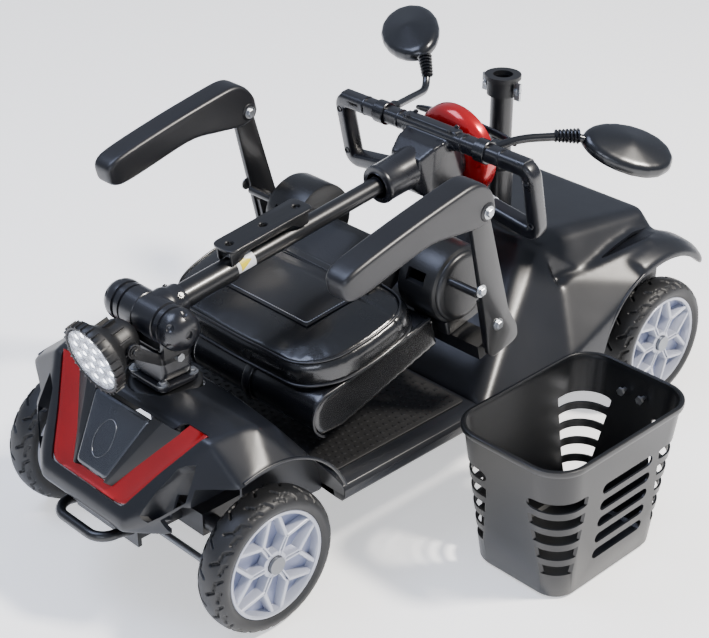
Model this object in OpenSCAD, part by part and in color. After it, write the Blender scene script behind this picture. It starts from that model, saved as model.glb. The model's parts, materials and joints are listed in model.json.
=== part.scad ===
// Four-wheel transportable mobility scooter, stored: the tiller is folded back over the seat, the seat is
// lifted off its post and lies on the deck with its backrest down, and the basket stands beside it.
// x = 0 is the scooter's centre line, +X its left side, -Y its front, and z = 0 the ground.

/* [Wheels] */
// Distance between the front and the rear axle
wheelbase = 800; // [720:5:900]
// Outer radius of every tyre
tyre_r = 100; // [94:1:106]
// Width of every tyre
tyre_w = 50; // [40:1:56]
// Centre of each tyre from the centre line
wheel_x = 204; // [198:1:222]
// Outer radius of the rim, where the tyre starts
rim_r = 76; // [68:1:80]
// Radius of the stub axles and half shafts
axle_r = 8; // [6:0.5:9]
// Radial clearance of every shaft that turns in a bore
run_gap = 0.05; // [0.02:0.01:0.1]

/* [Deck and covers] */
// Height of the deck's top above the ground
deck_z = 148; // [140:1:160]
// Half of the deck's width at the sills
sill_x = 207; // [200:1:230]
// Depth of the sill below the deck's top
sill_h = 30; // [22:1:36]
// Half of the mat's width
mat_x = 178; // [120:1:184]
// Thickness of the mat
mat_t = 4; // [3:0.5:6]
// Wall thickness of the moulded covers
wall = 4; // [3:0.5:5]
// Inner radius of the fender lips about their axle
fender_r = 140; // [128:1:146]
// Outermost x of the fender lips
fender_x = 218; // [214:1:230]
// Gap left round pieces that pass through a cover
cover_gap = 3; // [1:0.5:6]

/* [Tiller] */
// Height of the tiller's fold axis
fold_z = 373; // [366:1:396]
// Angle of the folded tiller above the horizontal
stow_angle = 7; // [4:0.5:10]
// Radius of the lower tiller tube
lower_tube_r = 17; // [14:0.5:20]
// Radius of the upper tiller tube
upper_tube_r = 13; // [9:0.5:14]
// Length of the tiller from its fold axis to the handlebar
tiller_len = 521; // [505:1:545]
// Half of the handlebar's width
bar_x = 194; // [160:1:198]
// Radius of the handle loops' bars
grip_r = 12; // [9:0.5:14]

/* [Seat] */
// Pitch of the seat as it lies on the deck
seat_pitch = 13; // [11:0.5:14]
// Half of the cushion's width
cushion_x = 160; // [140:1:170]
// Depth of the cushion from front to back
cushion_len = 218; // [200:1:222]
// Thickness of the cushion
cushion_h = 52; // [40:1:54]
// Half of the backrest's width
back_x = 172; // [150:1:176]
// Centre of each armrest from the centre line
arm_x = 229; // [227:1:240]
// Length of the armrest pads
arm_len = 250; // [200:1:270]
// Height of the seat post's top above the ground
post_top = 512; // [440:1:540]
// Outer radius of the seat post
post_r = 17; // [14:0.5:19]

/* [Basket] */
// Size of the basket's rim across the scooter
basket_w = 196; // [160:1:240]
// Size of the basket's rim along the scooter
basket_l = 290; // [240:1:330]
// Height of the basket
basket_h = 223; // [200:1:260]
// Inner edge of the basket's rim from the centre line
basket_x = 271; // [262:1:320]

/* [Hidden] */
$fn = 48;
hull_fn = 24;

front_y = -wheelbase / 2;
rear_y = wheelbase / 2;
axle_z = tyre_r;
black = "#1b1c1f";
steel = "#3a3c40";
silver = "#c9ccd0";

// Steering: the column stands a little behind the front axle, the kingpins stand inside the wheels.
column_y = front_y + 13;
column_r = 14;
kingpin_x = 150;
kingpin_r = 8;
steer_arm = 40;

// Front face of the nose, where the red panel lies: a plane that leans back.
face_y = front_y - 123;
face_z = 173;
face_lean = 52;

post_y = rear_y - 143;
sleeve_r = post_r + 4.5;
sleeve_top = 372;

fold_y = front_y - 3;
barrel_r = 27;
fold_pin_r = 8;
bracket_lift = 33;

seat_y = front_y + 145;
seat_z = 200;
hinge_y = 245;
hinge_z = 100;

bumper_y = front_y - 143;
bumper_x = 52;
bumper_r = 7;
tail_angle = 48;

// Where each mirror hangs: the bend and the end of its stalk, and its housing's [turn, lift, roll].
left_bend = [122, rear_y - 245, 484];
left_end = [166, rear_y - 186, 484];
left_aim = [49, -16, 20];
right_bend = [-142, rear_y - 153, 456];
right_end = [-162, rear_y - 136, 490];
right_aim = [150, 12, -24];
mirror_points = [[26, 0], [48, 31], [54, -28], [130, 25], [124, -27]];
mirror_r = 15;
function mirror_x(p, end, aim) = end[0] - p[1] * cos(aim[2]) * sin(aim[0])
  + (p[0] * cos(aim[1]) - p[1] * sin(aim[2]) * sin(aim[1])) * cos(aim[0]);

// The origin is the middle of the whole object's footprint.
x_low = min([for (p = mirror_points) mirror_x(p, right_end, right_aim)]) - mirror_r;
x_high = basket_x + basket_w;
y_low = bumper_y - bumper_r;
y_high = rear_y + (fender_r + 31) * cos(tail_angle);

module placed() {
  translate([-(x_low + x_high) / 2, -(y_low + y_high) / 2, 0]) children();
}
module both_sides() {
  children();
  mirror([1, 0, 0]) children();
}
// A round bar from point a to point b.
module rod(a, b, r) {
  d = b - a;
  translate(a) rotate([0, acos(d[2] / norm(d)), atan2(d[1], d[0])]) cylinder(h = norm(d), r = r);
}
module cross_rod(x0, x1, y, z, r) {
  translate([x0, y, z]) rotate([0, 90, 0]) cylinder(h = x1 - x0, r = r);
}
module ring(h, r_out, r_in) {
  difference() {
    cylinder(h = h, r = r_out);
    translate([0, 0, -1]) cylinder(h = h + 2, r = r_in);
  }
}
module box(low, high) {
  translate(low) cube(high - low);
}
module rounded_plate(w, l, r) {
  union() {
    square([w - 2 * r, l], center = true);
    square([w, l - 2 * r], center = true);
    for (x = [-1, 1], y = [-1, 1]) translate([x * (w / 2 - r), y * (l / 2 - r)]) circle(r = r);
  }
}
module balls(points, r) {
  for (p = points) translate(p) sphere(r = r, $fn = hull_fn);
}
module tiller_frame() {
  translate([0, fold_y, fold_z]) rotate([stow_angle, 0, 0]) children();
}
module seat_frame() {
  translate([0, seat_y, seat_z]) rotate([seat_pitch, 0, 0]) children();
}
module nose_frame() {
  translate([0, face_y, face_z]) rotate([face_lean, 0, 0]) children();
}

// ---- Frames ----
rail_x = 84;
rail_top = deck_z - sill_h;
rail_low = rail_top - 26;
joint_y = front_y + 405;
module rails(y0, y1) {
  both_sides() difference() {
    box([rail_x - 13, y0, rail_low], [rail_x + 13, y1, rail_top]);
    box([rail_x - 11, y0 - 1, rail_low + 2], [rail_x + 11, y1 + 1, rail_top - 2]);
  }
}
module front_frame() {
  placed() color(steel) difference() {
    union() {
      rails(front_y + 26, joint_y);
      box([-rail_x + 13, front_y + 120, rail_low], [rail_x - 13, front_y + 140, rail_top]);
      box([-rail_x + 13, joint_y - 40, rail_low], [rail_x - 13, joint_y - 20, rail_top]);
      box([-rail_x - 13, front_y - 14, rail_low - 8], [rail_x + 13, front_y + 26, rail_top]);
      both_sides() {
        cross_rod(rail_x, kingpin_x, front_y, axle_z, 12);
        translate([kingpin_x, front_y, axle_z - 22]) cylinder(h = 44, r = 15);
        box([38, front_y - 90, rail_low], [54, front_y - 14, rail_low + 20]);
      }
      translate([0, column_y, rail_low - 8]) cylinder(h = 150, r = 22);
    }
    translate([0, column_y, rail_low - 20]) cylinder(h = 200, r = column_r + run_gap);
    both_sides() translate([kingpin_x, front_y, axle_z - 40]) cylinder(h = 80, r = kingpin_r + run_gap);
  }
}
module rear_frame() {
  placed() color(steel) difference() {
    union() {
      rails(joint_y, rear_y - 60);
      for (y = [joint_y + 20, rear_y - 124])
        box([-rail_x + 13, y, rail_low], [rail_x - 13, y + 20, rail_top]);
      box([-rail_x + 13, post_y - 16, rail_low], [rail_x - 13, post_y + 16, rail_top]);
      both_sides() box([rail_x - 13, rear_y - 60, rail_low], [rail_x + 13, rear_y - 24, rail_top + 20]);
    }
    translate([0, post_y, rail_low - 1]) cylinder(h = 60, r = sleeve_r);
  }
}
module post_sleeve() {
  placed() color(steel) translate([0, post_y, rail_low]) difference() {
    cylinder(h = sleeve_top - rail_low, r = sleeve_r);
    translate([0, 0, -1]) cylinder(h = sleeve_top, r = post_r + run_gap);
  }
}

// ---- Deck ----
deck_front = front_y + 140;
deck_back = front_y + 404;
module sill_profile() {
  polygon([
    [-sill_x + 6, deck_z - sill_h], [-sill_x, deck_z - sill_h + 8], [-sill_x, deck_z - 12],
    [-sill_x + 22, deck_z], [sill_x - 22, deck_z], [sill_x, deck_z - 12],
    [sill_x, deck_z - sill_h + 8], [sill_x - 6, deck_z - sill_h]]);
}
module deck_pan() {
  placed() color(black) difference() {
    translate([0, deck_back, 0]) rotate([90, 0, 0]) linear_extrude(deck_back - deck_front) sill_profile();
    for (x = [-1, 1])
      box([x * 100 - 88, deck_front + 12, deck_z - sill_h - 1], [x * 100 + 88, deck_back - 12, deck_z - 7]);
  }
}
module floor_mat() {
  placed() color("#141414") union() {
    box([-mat_x, deck_front + 4, deck_z], [mat_x, deck_back - 4, deck_z + mat_t - 1]);
    for (x = [-mat_x + 14 : 20 : mat_x - 14])
      box([x - 5, deck_front + 10, deck_z + mat_t - 2], [x + 5, deck_back - 10, deck_z + mat_t]);
  }
}

// ---- Front covers ----
module fender(y, from, sweep) {
  translate([0, y, axle_z]) rotate([0, 90, 0]) rotate([0, 0, from])
    rotate_extrude(angle = sweep, $fn = 96)
      polygon([
        [fender_r + 27, 155], [fender_r + 31, 155], [fender_r + 31, 182], [fender_r + 19, fender_x - 12],
        [fender_r + 5, fender_x], [fender_r, fender_x], [fender_r, fender_x - 4],
        [fender_r + 14, fender_x - 15], [fender_r + 27, 180]]);
}
// The nose, the top of the cowl and both front fenders, as one convex block; inset shrinks it.
module cowl(inset) {
  side = inset > 0 ? 154 : 180;
  hull() {
    nose_frame() for (s = [-1, 1]) {
      translate([s * (88 - inset), -14, -12 - inset]) sphere(r = 12, $fn = hull_fn);
      translate([s * (118 - inset), 56, -12 - inset]) sphere(r = 12, $fn = hull_fn);
      translate([s * (min(152, side - 12) - inset), 124, -12 - inset]) sphere(r = 12, $fn = hull_fn);
    }
    both_sides() {
      balls([[side - 12, front_y + 62, 238 - inset], [side - 12, front_y + 8, 262 - inset]], 12);
      translate([side - 26, front_y + 128, deck_z - sill_h - inset]) cylinder(h = 20, r = 10, $fn = hull_fn);
      translate([80 - inset, face_y + 14 + inset, 138 - inset]) cylinder(h = 10, r = 12, $fn = hull_fn);
      translate([120 - inset, face_y + 40 + inset, 146 - inset]) cylinder(h = 10, r = 12, $fn = hull_fn);
      if (inset == 0) {
        translate([sill_x - 12, front_y + 128, deck_z - sill_h]) cylinder(h = 20, r = 12, $fn = hull_fn);
        balls([[fender_x - 12, front_y - 38, fender_r + 94], [fender_x - 12, front_y + 18, fender_r + 102],
          [fender_x - 12, front_y + 76, fender_r + 74], [fender_x - 12, front_y + 116, fender_r + 28]], 12);
      }
    }
  }
}
module wheel_space(y, x, r) {
  both_sides() cross_rod(x, x + 120, y, axle_z, r);
}
cover_hole_r = 52;
module front_shroud() {
  placed() color(black) difference() {
    cowl(0);
    wheel_space(front_y, 158, fender_r);
    cowl(wall);
    box([-154, face_y + 60, 100], [154, deck_front, 140]);
    translate([0, column_y, 180]) cylinder(h = 120, r = cover_hole_r);
    nose_frame() translate([0, 0, -8]) linear_extrude(30) nose_outline(0.5);
    both_sides() {
      nose_frame() translate([0, 0, -30]) linear_extrude(60)
        polygon([[112, 22], [140, 62], [150, 96], [128, 78]]);
      cross_rod(140, 170, front_y, axle_z, 48);
    }
  }
}
// Outline of the whole nose face: the red panel, its badge and the two cheeks.
module nose_outline(gap) {
  polygon([
    [-75 - gap, -gap], [75 + gap, -gap], [107 + gap, 61], [150 + gap, 132],
    [115, 132], [101.5, 111.3], [-101.5, 111.3], [-115, 132], [-150 - gap, 132], [-107 - gap, 61]]);
}
module nose_panel() {
  placed() color("#b3121d") nose_frame() translate([0, 0, -7]) linear_extrude(7)
    polygon([
      [-75, 0], [75, 0], [107, 61], [149, 131.5], [116, 131.5], [40, 16], [-40, 16],
      [-116, 131.5], [-149, 131.5], [-107, 61]]);
}
module badge_panel() {
  placed() color("#8d9196") nose_frame() translate([0, 0, -5]) linear_extrude(9)
    polygon([[-31, 17], [31, 17], [57, 111], [-57, 111]]);
}
module column_cover() {
  placed() color(black) union() {
    nose_frame() both_sides() translate([0, 0, -7]) linear_extrude(10)
      polygon([[32, 17], [39, 17], [101, 111], [58, 111]]);
    difference() {
      translate([0, column_y, 247]) cylinder(h = 20, r = cover_hole_r - 1);
      translate([0, column_y, 240]) cylinder(h = 40, r = 24);
      nose_frame() translate([0, 0, -8]) linear_extrude(60) nose_outline(1);
    }
  }
}
module front_bumper() {
  bend = 26;
  placed() color("#45484c") union() {
    both_sides() {
      rod([bumper_x, front_y - 91, 112], [bumper_x, bumper_y + bend, 118], bumper_r);
      translate([bumper_x - bend, bumper_y + bend, 118]) rotate_extrude(angle = 90, start = -90)
        translate([bend, 0]) circle(r = bumper_r);
    }
    cross_rod(-bumper_x + bend, bumper_x - bend, bumper_y, 118, bumper_r);
    box([-66, front_y - 96, 92], [66, front_y - 90, 121]);
  }
}

// ---- Rear covers ----
body_top = 298;
module trunk(inset) {
  w = inset > 0 ? 160 : 168;
  hull() {
    both_sides() {
      balls([[92 - inset, post_y - 44, body_top - 12 - inset], [124 - inset, rear_y + 44 - inset,
        body_top - 24 - inset], [146 - inset, rear_y + 46 - inset, 246 - inset]], 12);
      translate([w - 12, rear_y + 40 - inset, deck_z - sill_h - inset]) cylinder(h = 30, r = 12, $fn = hull_fn);
      translate([w - 12, rear_y - 120, deck_z - sill_h - inset]) cylinder(h = 70, r = 12, $fn = hull_fn);
    }
  }
}
module step_cover(inset) {
  hull() both_sides() {
    translate([sill_x - 12 - inset, deck_back + 12 + inset, deck_z - sill_h - inset])
      cylinder(h = sill_h - 6, r = 12, $fn = hull_fn);
    translate([sill_x - 12 - inset, rear_y - 140, deck_z - sill_h - inset])
      cylinder(h = 70, r = 12, $fn = hull_fn);
    balls([[92 - inset, post_y - 44, body_top - 12 - inset], [118 - inset, post_y + 10,
      body_top - 14 - inset]], 12);
    if (inset == 0) balls([[fender_x - 12, rear_y - 96, fender_r + 62], [fender_x - 12, rear_y - 52,
      fender_r + 92], [fender_x - 12, rear_y, fender_r + 104]], 12);
  }
}
module rear_shroud() {
  placed() color(black) difference() {
    union() {
      difference() {
        union() {
          trunk(0);
          step_cover(0);
        }
        wheel_space(rear_y, 168, fender_r + 2);
      }
      both_sides() fender(rear_y, 90 + tail_angle, 130 - tail_angle);
    }
    difference() {
      union() {
        trunk(wall);
        step_cover(wall);
      }
      wheel_space(rear_y, 160, fender_r + 2 + wall);
    }
    translate([0, post_y, 200]) cylinder(h = 140, r = sleeve_r + 1);
    both_sides() box([150, rear_y - 60, 236], [180, rear_y + 30, 246]);
    both_sides() box([70, rear_y + 40, 182], [118, rear_y + 70, 218]);
  }
}
module rear_lamps() {
  placed() color("#a01018") both_sides()
    box([71, rear_y + 44, 183], [117, rear_y + 57, 217]);
}

// ---- Seat post ----
module seat_post() {
  placed() color("#26272a") translate([0, post_y, rail_low])
    ring(post_top - rail_low, post_r, post_r - 3);
}
module post_collar() {
  placed() color("#2b2c2f") difference() {
    union() {
      translate([0, post_y, post_top - 24]) ring(24, post_r + 6, post_r + run_gap);
      translate([0, post_y, post_top]) ring(6, 27, post_r - 2.4);
    }
    cross_rod(-60, 60, post_y, post_top - 13, 3 + run_gap);
  }
}
module post_screws() {
  placed() color("#9a9da1") both_sides() {
    cross_rod(post_r + 0.5, post_r + 16, post_y, post_top - 13, 3);
    cross_rod(post_r + 10, post_r + 14, post_y, post_top - 13, 7);
    for (s = [-1, 1])
      translate([post_r + 14, post_y - 2, post_top - 13 + s * 7]) cube([10, 4, 12], center = true);
  }
}

// ---- Drive ----
shaft_inner = 36;
module transaxle() {
  placed() color("#6d7074") difference() {
    union() {
      cross_rod(-162, 162, rear_y, axle_z, 15);
      cross_rod(-34, 34, rear_y, axle_z, 46);
      cross_rod(-40, -34, rear_y, axle_z, 38);
      translate([0, rear_y - 96, axle_z - 4]) rotate([-90, 0, 0]) cylinder(h = 60, r = 34);
      box([-lever_x - 12, rear_y + 8, axle_z - 8], [-lever_x - 8, lever_y, axle_z + 8]);
      cross_rod(-lever_x - 12, -lever_x - 8, lever_y, axle_z, 8);
    }
    cross_rod(-lever_x - 20, -lever_x, lever_y, axle_z, 4 + run_gap);
    cross_rod(-200, 200, rear_y, axle_z, axle_r + run_gap);
    both_sides() box([rail_x - 14, rear_y - 61, rail_low - 1], [rail_x + 14, rear_y - 23, rail_top + 21]);
  }
}
// Two batteries, and behind the post the speed controller with its cooling fins.
module battery_pack() {
  placed() color("#2c2f33") {
    both_sides() union() {
      box([2, post_y - 150, rail_top], [128, post_y - sleeve_r - 8, rail_top + 62]);
      box([0.5, post_y - 152, rail_top + 50], [130, post_y - sleeve_r - 6, rail_top + 58]);
      for (x = [40, 90]) translate([x, post_y - 60, rail_top + 62]) cylinder(h = 8, r = 9);
    }
    union() {
      box([-56, rear_y - 90, 150], [56, rear_y - 10, 172]);
      for (x = [-52 : 13 : 52]) box([x - 2, rear_y - 90, 172], [x + 2, rear_y - 10, 184]);
    }
  }
}
lever_x = 100;
lever_y = rear_y + 36;
module freewheel_lever() {
  placed() color("#c8a020") union() {
    cross_rod(-lever_x - 16, -lever_x + 4, lever_y, axle_z, 4);
    cross_rod(-lever_x - 4, -lever_x + 4, lever_y, axle_z, 8);
    rod([-lever_x, lever_y, axle_z], [-lever_x, lever_y + 34, axle_z - 7], 4);
    translate([-lever_x, lever_y + 34, axle_z - 7]) sphere(r = 8);
  }
}

// ---- Steering ----
column_top = fold_z - barrel_r - 8;
module steering_column() {
  placed() color("#2a2b2e") union() {
    translate([0, column_y, rail_low - 14]) cylinder(h = column_top - rail_low + 14, r = column_r);
    translate([0, column_y, rail_low + 145]) cylinder(h = 10, r = 23);
    difference() {
      translate([0, column_y, rail_low - 20]) linear_extrude(6) union() {
        circle(r = 20);
        translate([-9, -steer_arm]) square([18, steer_arm]);
        translate([0, -steer_arm]) circle(r = 9);
      }
      translate([0, link_y, link_z - 30]) cylinder(h = 60, r = link_pin_r + link_play);
    }
    translate([0, column_y - 3, column_top - 24]) linear_extrude(24) rounded_plate(64, 56, 10);
    both_sides() difference() {
      union() {
        box([34, fold_y - 15, column_top - 10], [42, fold_y + 18, fold_z]);
        cross_rod(34, 42, fold_y, fold_z, 18);
        box([30, fold_y - 15, column_top - 10], [36, fold_y + 18, column_top]);
      }
      cross_rod(20, 50, fold_y, fold_z, fold_pin_r + run_gap);
    }
  }
}
module column_nuts() {
  placed() color(silver) for (s = [-1, 1]) {
    translate([s * 24, column_y, column_top - 34]) cylinder(h = 10, r = 7, $fn = 6);
    translate([s * 36.5, column_y - 3, column_top - 17.5]) rotate([0, s * 90, 0])
      translate([0, 0, -4.5]) cylinder(h = 8, r = 6, $fn = 6);
  }
}
// The link joins the column's arm and both steering arms, pin by pin, below them.
link_y = column_y - steer_arm;
link_z = axle_z - 31;
link_pin_r = 4;
link_play = 0.6;
module tie_rod() {
  placed() color("#4a4c50") union() {
    cross_rod(-kingpin_x, kingpin_x, link_y, link_z - 9, 5);
    for (x = [-kingpin_x, 0, kingpin_x]) {
      translate([x, link_y, link_z - 15]) cylinder(h = 14, r = 9);
      translate([x, link_y, link_z - 3]) cylinder(h = 13, r = link_pin_r);
    }
  }
}
module knuckle() {
  yoke_x = 16;
  color("#3d3f43") difference() {
    union() {
      translate([kingpin_x, front_y, link_z + 1]) cylinder(h = 60, r = kingpin_r);
      translate([kingpin_x, front_y + 13, axle_z]) rotate([90, 0, 0]) linear_extrude(26) polygon([
        [-13, -31], [24, -31], [24, 31], [-13, 31], [-13, 22.5], [yoke_x, 22.5], [yoke_x, -22.5],
        [-13, -22.5]]);
      cross_rod(kingpin_x + 20, wheel_x + 19, front_y, axle_z, axle_r);
      cross_rod(wheel_x + 18, wheel_x + 24, front_y, axle_z, axle_r + 4);
      translate([kingpin_x, 0, link_z]) linear_extrude(7.5) union() {
        translate([-8, link_y]) square([16, front_y - link_y]);
        translate([0, link_y]) circle(r = 9);
      }
    }
    translate([kingpin_x, link_y, link_z - 12]) cylinder(h = 30, r = link_pin_r + link_play);
  }
}
module knuckle_left() { placed() knuckle(); }
module knuckle_right() { placed() mirror([1, 0, 0]) knuckle(); }

// ---- Wheels ----
module tyre(side, y) {
  half = tyre_w / 2;
  shoulder = 9;
  color("#1c1c1d") translate([side * wheel_x, y, axle_z]) rotate([0, 90, 0])
    rotate_extrude($fn = 96) polygon([
      [rim_r, -half + 5], [tyre_r - 14, -half], [tyre_r - shoulder, -half + 1.5], [tyre_r - 3, -half + 8],
      [tyre_r, -half + 16], [tyre_r, half - 16], [tyre_r - 3, half - 8], [tyre_r - shoulder, half - 1.5],
      [tyre_r - 14, half], [rim_r, half - 5]]);
}
spokes = 6;
module rim(side, y) {
  half = tyre_w / 2 - 3;
  face = half - 9;
  color(silver) translate([side * wheel_x, y, axle_z]) mirror([side < 0 ? 1 : 0, 0, 0])
    rotate([0, 90, 0]) difference() {
      union() {
        rotate_extrude($fn = 96) polygon([
          [rim_r - 5, -half], [rim_r, -half], [rim_r, half], [rim_r - 9, half], [rim_r - 9, half - 4],
          [rim_r - 5, half - 4]]);
        translate([0, 0, -half]) cylinder(h = 2 * half - 4, r = 17);
        translate([0, 0, face - 4]) cylinder(h = 4, r = 24);
        for (i = [0 : spokes - 1]) rotate([0, 0, i * 360 / spokes]) {
          translate([14, -5, face - 6]) cube([28, 10, 10]);
          for (s = [-1, 1]) translate([38, 0, face - 6]) rotate([0, 0, s * 34])
            translate([0, -3.5, 0]) cube([36.5, 7, 10]);
        }
      }
      translate([0, 0, -half - 1]) cylinder(h = 2 * half + 2, r = axle_r + run_gap);
    }
}
module front_left_tyre() { placed() tyre(1, front_y); }
module front_left_rim() { placed() rim(1, front_y); }
module front_right_tyre() { placed() tyre(-1, front_y); }
module front_right_rim() { placed() rim(-1, front_y); }
module rear_left_tyre() { placed() tyre(1, rear_y); }
module rear_left_rim() { placed() rim(1, rear_y); }
module rear_right_tyre() { placed() tyre(-1, rear_y); }
module rear_right_rim() { placed() rim(-1, rear_y); }
module half_shaft() {
  color("#8a8d91") {
    cross_rod(shaft_inner, wheel_x + 18, rear_y, axle_z, axle_r);
    cross_rod(wheel_x + 18, wheel_x + 24, rear_y, axle_z, axle_r + 4);
  }
}
module half_shaft_left() { placed() half_shaft(); }
module half_shaft_right() { placed() mirror([1, 0, 0]) half_shaft(); }

// ---- Headlamp ----
lamp_y = front_y - 58;
lamp_z = 355;
lamp_tilt = 14;
module lamp_frame() {
  translate([0, lamp_y, lamp_z]) rotate([90 + lamp_tilt, 0, 0]) children();
}
lamp_pin_r = 4;
module headlamp_yoke() {
  placed() color("#232427") union() {
    both_sides() translate([31.5, 0, 0]) rotate([90, 0, 90]) linear_extrude(4) difference() {
      union() {
        polygon([
          [column_y - 31, column_top - 20], [column_y - 31, column_top - 4], [lamp_y - 3, lamp_z + 9.5],
          [lamp_y - 3, lamp_z - 9.5]]);
        translate([lamp_y, lamp_z]) circle(r = 10);
      }
      translate([lamp_y, lamp_z]) circle(r = lamp_pin_r + run_gap);
    }
    box([-31.5, column_y - 34, column_top - 20], [31.5, column_y - 31, column_top - 4]);
  }
}
module headlamp_body() {
  placed() color("#202124") union() {
    lamp_frame() rotate_extrude($fn = 64) polygon([
      [0, -25], [12, -24], [22, -18], [28, -10], [28, 10], [40, 22], [44, 30], [44, 34], [0, 34]]);
    cross_rod(-37.5, 37.5, lamp_y, lamp_z, lamp_pin_r);
  }
}
module headlamp_bezel() {
  placed() color("#17181a") lamp_frame() union() {
    translate([0, 0, 30]) ring(14, 50, 44.2);
    for (i = [0 : 29]) rotate([0, 0, i * 12]) translate([49, 0, 37]) cube([5, 3, 12], center = true);
  }
}
module headlamp_lens() {
  placed() color("#e9eef2") lamp_frame() union() {
    translate([0, 0, 34]) cylinder(h = 3, r = 43.8);
    translate([0, 0, 37]) cylinder(h = 5, r = 8);
    for (k = [0 : 5]) rotate([0, 0, k * 60]) translate([18, 0, 37]) cylinder(h = 5, r = 7.5);
    for (k = [0 : 11]) rotate([0, 0, k * 30 + 15]) translate([34.5, 0, 37]) cylinder(h = 5, r = 7.5);
  }
}

// ---- Tiller ----
module pivot_housing() {
  placed() color("#202225") tiller_frame() union() {
    difference() {
      union() {
        cross_rod(-33.5, 33.5, 0, 0, barrel_r);
        translate([0, 8, 0]) rotate([-90, 0, 0]) cylinder(h = 40, r = 24);
      }
      cross_rod(-60, 60, 0, 0, fold_pin_r);
      translate([0, 20, 0]) rotate([-90, 0, 0]) cylinder(h = 60, r = lower_tube_r);
    }
    cross_rod(-50, 50, 0, 0, fold_pin_r);
    both_sides() translate([42.5, 0, 0]) rotate([0, 90, 0]) rotate_extrude() polygon([
      [0, 0], [barrel_r - 1, 0], [barrel_r - 1, 4], [barrel_r - 4, 4], [barrel_r - 4, 8], [barrel_r, 8],
      [barrel_r, 18], [barrel_r - 4, 26], [barrel_r - 11, 31], [0, 33]]);
  }
}
tube_step = 134;
module tiller_tube() {
  placed() color("#2c2d30") tiller_frame() translate([0, 20, 0]) rotate([-90, 0, 0]) difference() {
    union() {
      cylinder(h = tube_step - 20, r = lower_tube_r);
      cylinder(h = tiller_len - 110, r = upper_tube_r);
    }
    translate([0, 0, 4]) cylinder(h = tiller_len - 90, r = upper_tube_r - 2.5);
  }
}
bracket_y = 196;
module basket_bracket() {
  placed() color("#3b3c3f") tiller_frame() difference() {
    union() {
      translate([0, bracket_y, bracket_lift]) linear_extrude(4) rounded_plate(40, 146, 5);
      both_sides() box([16, bracket_y - 70, bracket_lift - 12], [20, bracket_y + 70, bracket_lift]);
      for (y = [bracket_y - 60, bracket_y + 60])
        box([-16, y - 8, upper_tube_r - 4], [16, y + 8, bracket_lift]);
    }
    for (y = [-59, 0, 59]) translate([0, bracket_y + y, bracket_lift - 40]) cylinder(h = 60, r = 5.5);
    rotate([-90, 0, 0]) cylinder(h = tube_step, r = lower_tube_r);
    translate([0, tube_step, 0]) rotate([-90, 0, 0]) cylinder(h = 200, r = upper_tube_r);
  }
}
head_y = tiller_len - 20;
bar_z = 35;
low_z = -84;
module tiller_head() {
  placed() color("#26272a") tiller_frame() difference() {
    union() {
      translate([0, head_y - 75, 0]) rotate([-90, 0, 0]) cylinder(h = 60, r = 21);
      hull() for (x = [-28, 28], y = [head_y - 25, head_y + 28], z = [-30, bar_z - 8])
        translate([x, y, z]) sphere(r = 12, $fn = hull_fn);
      cross_rod(-52, 52, tiller_len, bar_z, grip_r + 4);
      translate([0, tiller_len + 18, console_drop]) rotate([-90, 0, 0]) cylinder(h = 6, r = 36);
    }
    translate([0, 100, 0]) rotate([-90, 0, 0]) cylinder(h = tiller_len - 190, r = upper_tube_r);
    cross_rod(-60, 60, tiller_len, bar_z, grip_r);
    both_sides() cross_rod(24, 100, tiller_len + 6, low_z + 34, grip_r - 2);
  }
}
module handle_loops() {
  corner = [bar_x - grip_r, tiller_len, bar_z];
  foot = [bar_x - grip_r, tiller_len + 11, low_z + grip_r];
  inner = [58, tiller_len + 6, low_z + 34];
  low_r = grip_r - 2;
  placed() color("#1f2023") tiller_frame() union() {
    cross_rod(-corner[0], corner[0], tiller_len, bar_z, grip_r);
    both_sides() {
      translate(corner) sphere(r = grip_r + 1);
      rod(corner, foot, grip_r - 0.5);
      translate(foot) sphere(r = grip_r + 1);
      rod(foot, inner, low_r);
      translate(inner) sphere(r = low_r + 1.5);
      cross_rod(24.5, inner[0], inner[1], inner[2], low_r);
    }
  }
}
console_y = tiller_len + 24;
console_r = 70;
console_drop = -14;
dial_x = 26;
dial_z = -36;
dial_r = 5;
key_r = 3;
throttle_z = 16;
throttle_r = 7;
module console_cover() {
  placed() color("#b3121d") tiller_frame() translate([0, console_y, console_drop]) rotate([-90, 0, 0])
    rotate_extrude($fn = 64) polygon([
      [0, 0], [44, 0], [58, 3], [66, 9], [console_r, 18], [console_r, 30], [console_r - 4, 30],
      [console_r - 4, 20], [62, 12], [56, 7], [44, 4], [0, 4]]);
}
module console_panel() {
  placed() color("#1a1b1e") tiller_frame() difference() {
    translate([0, console_y, console_drop]) rotate([-90, 0, 0]) rotate_extrude($fn = 64) polygon([
      [0, 22], [console_r - 4.2, 22], [console_r - 4.2, 28], [console_r - 12, 31], [0, 34]]);
    translate([dial_x, console_y + 10, dial_z]) rotate([-90, 0, 0]) cylinder(h = 40, r = dial_r + run_gap);
    translate([-dial_x, console_y + 10, dial_z]) rotate([-90, 0, 0]) cylinder(h = 40, r = key_r + run_gap);
    translate([0, console_y + 10, throttle_z]) rotate([-90, 0, 0]) cylinder(h = 40, r = throttle_r + run_gap);
  }
}
module speed_dial() {
  placed() color("#d7d9db") tiller_frame() translate([dial_x, 0, dial_z]) rotate([-90, 0, 0]) union() {
    translate([0, 0, console_y + 23]) cylinder(h = 12, r = dial_r);
    translate([0, 0, console_y + 34.6]) cylinder(h = 8, r = 12);
    translate([0, -8, console_y + 43]) cube([2.5, 9, 2], center = true);
  }
}
module ignition_key() {
  placed() color("#b8bbbf") tiller_frame() translate([-dial_x, 0, dial_z]) rotate([-90, 0, 0]) union() {
    translate([0, 0, console_y + 23]) cylinder(h = 14, r = key_r);
    translate([-7, -1.5, console_y + 36]) cube([14, 3, 16]);
  }
}
throttle_y = tiller_len + 76;
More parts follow.
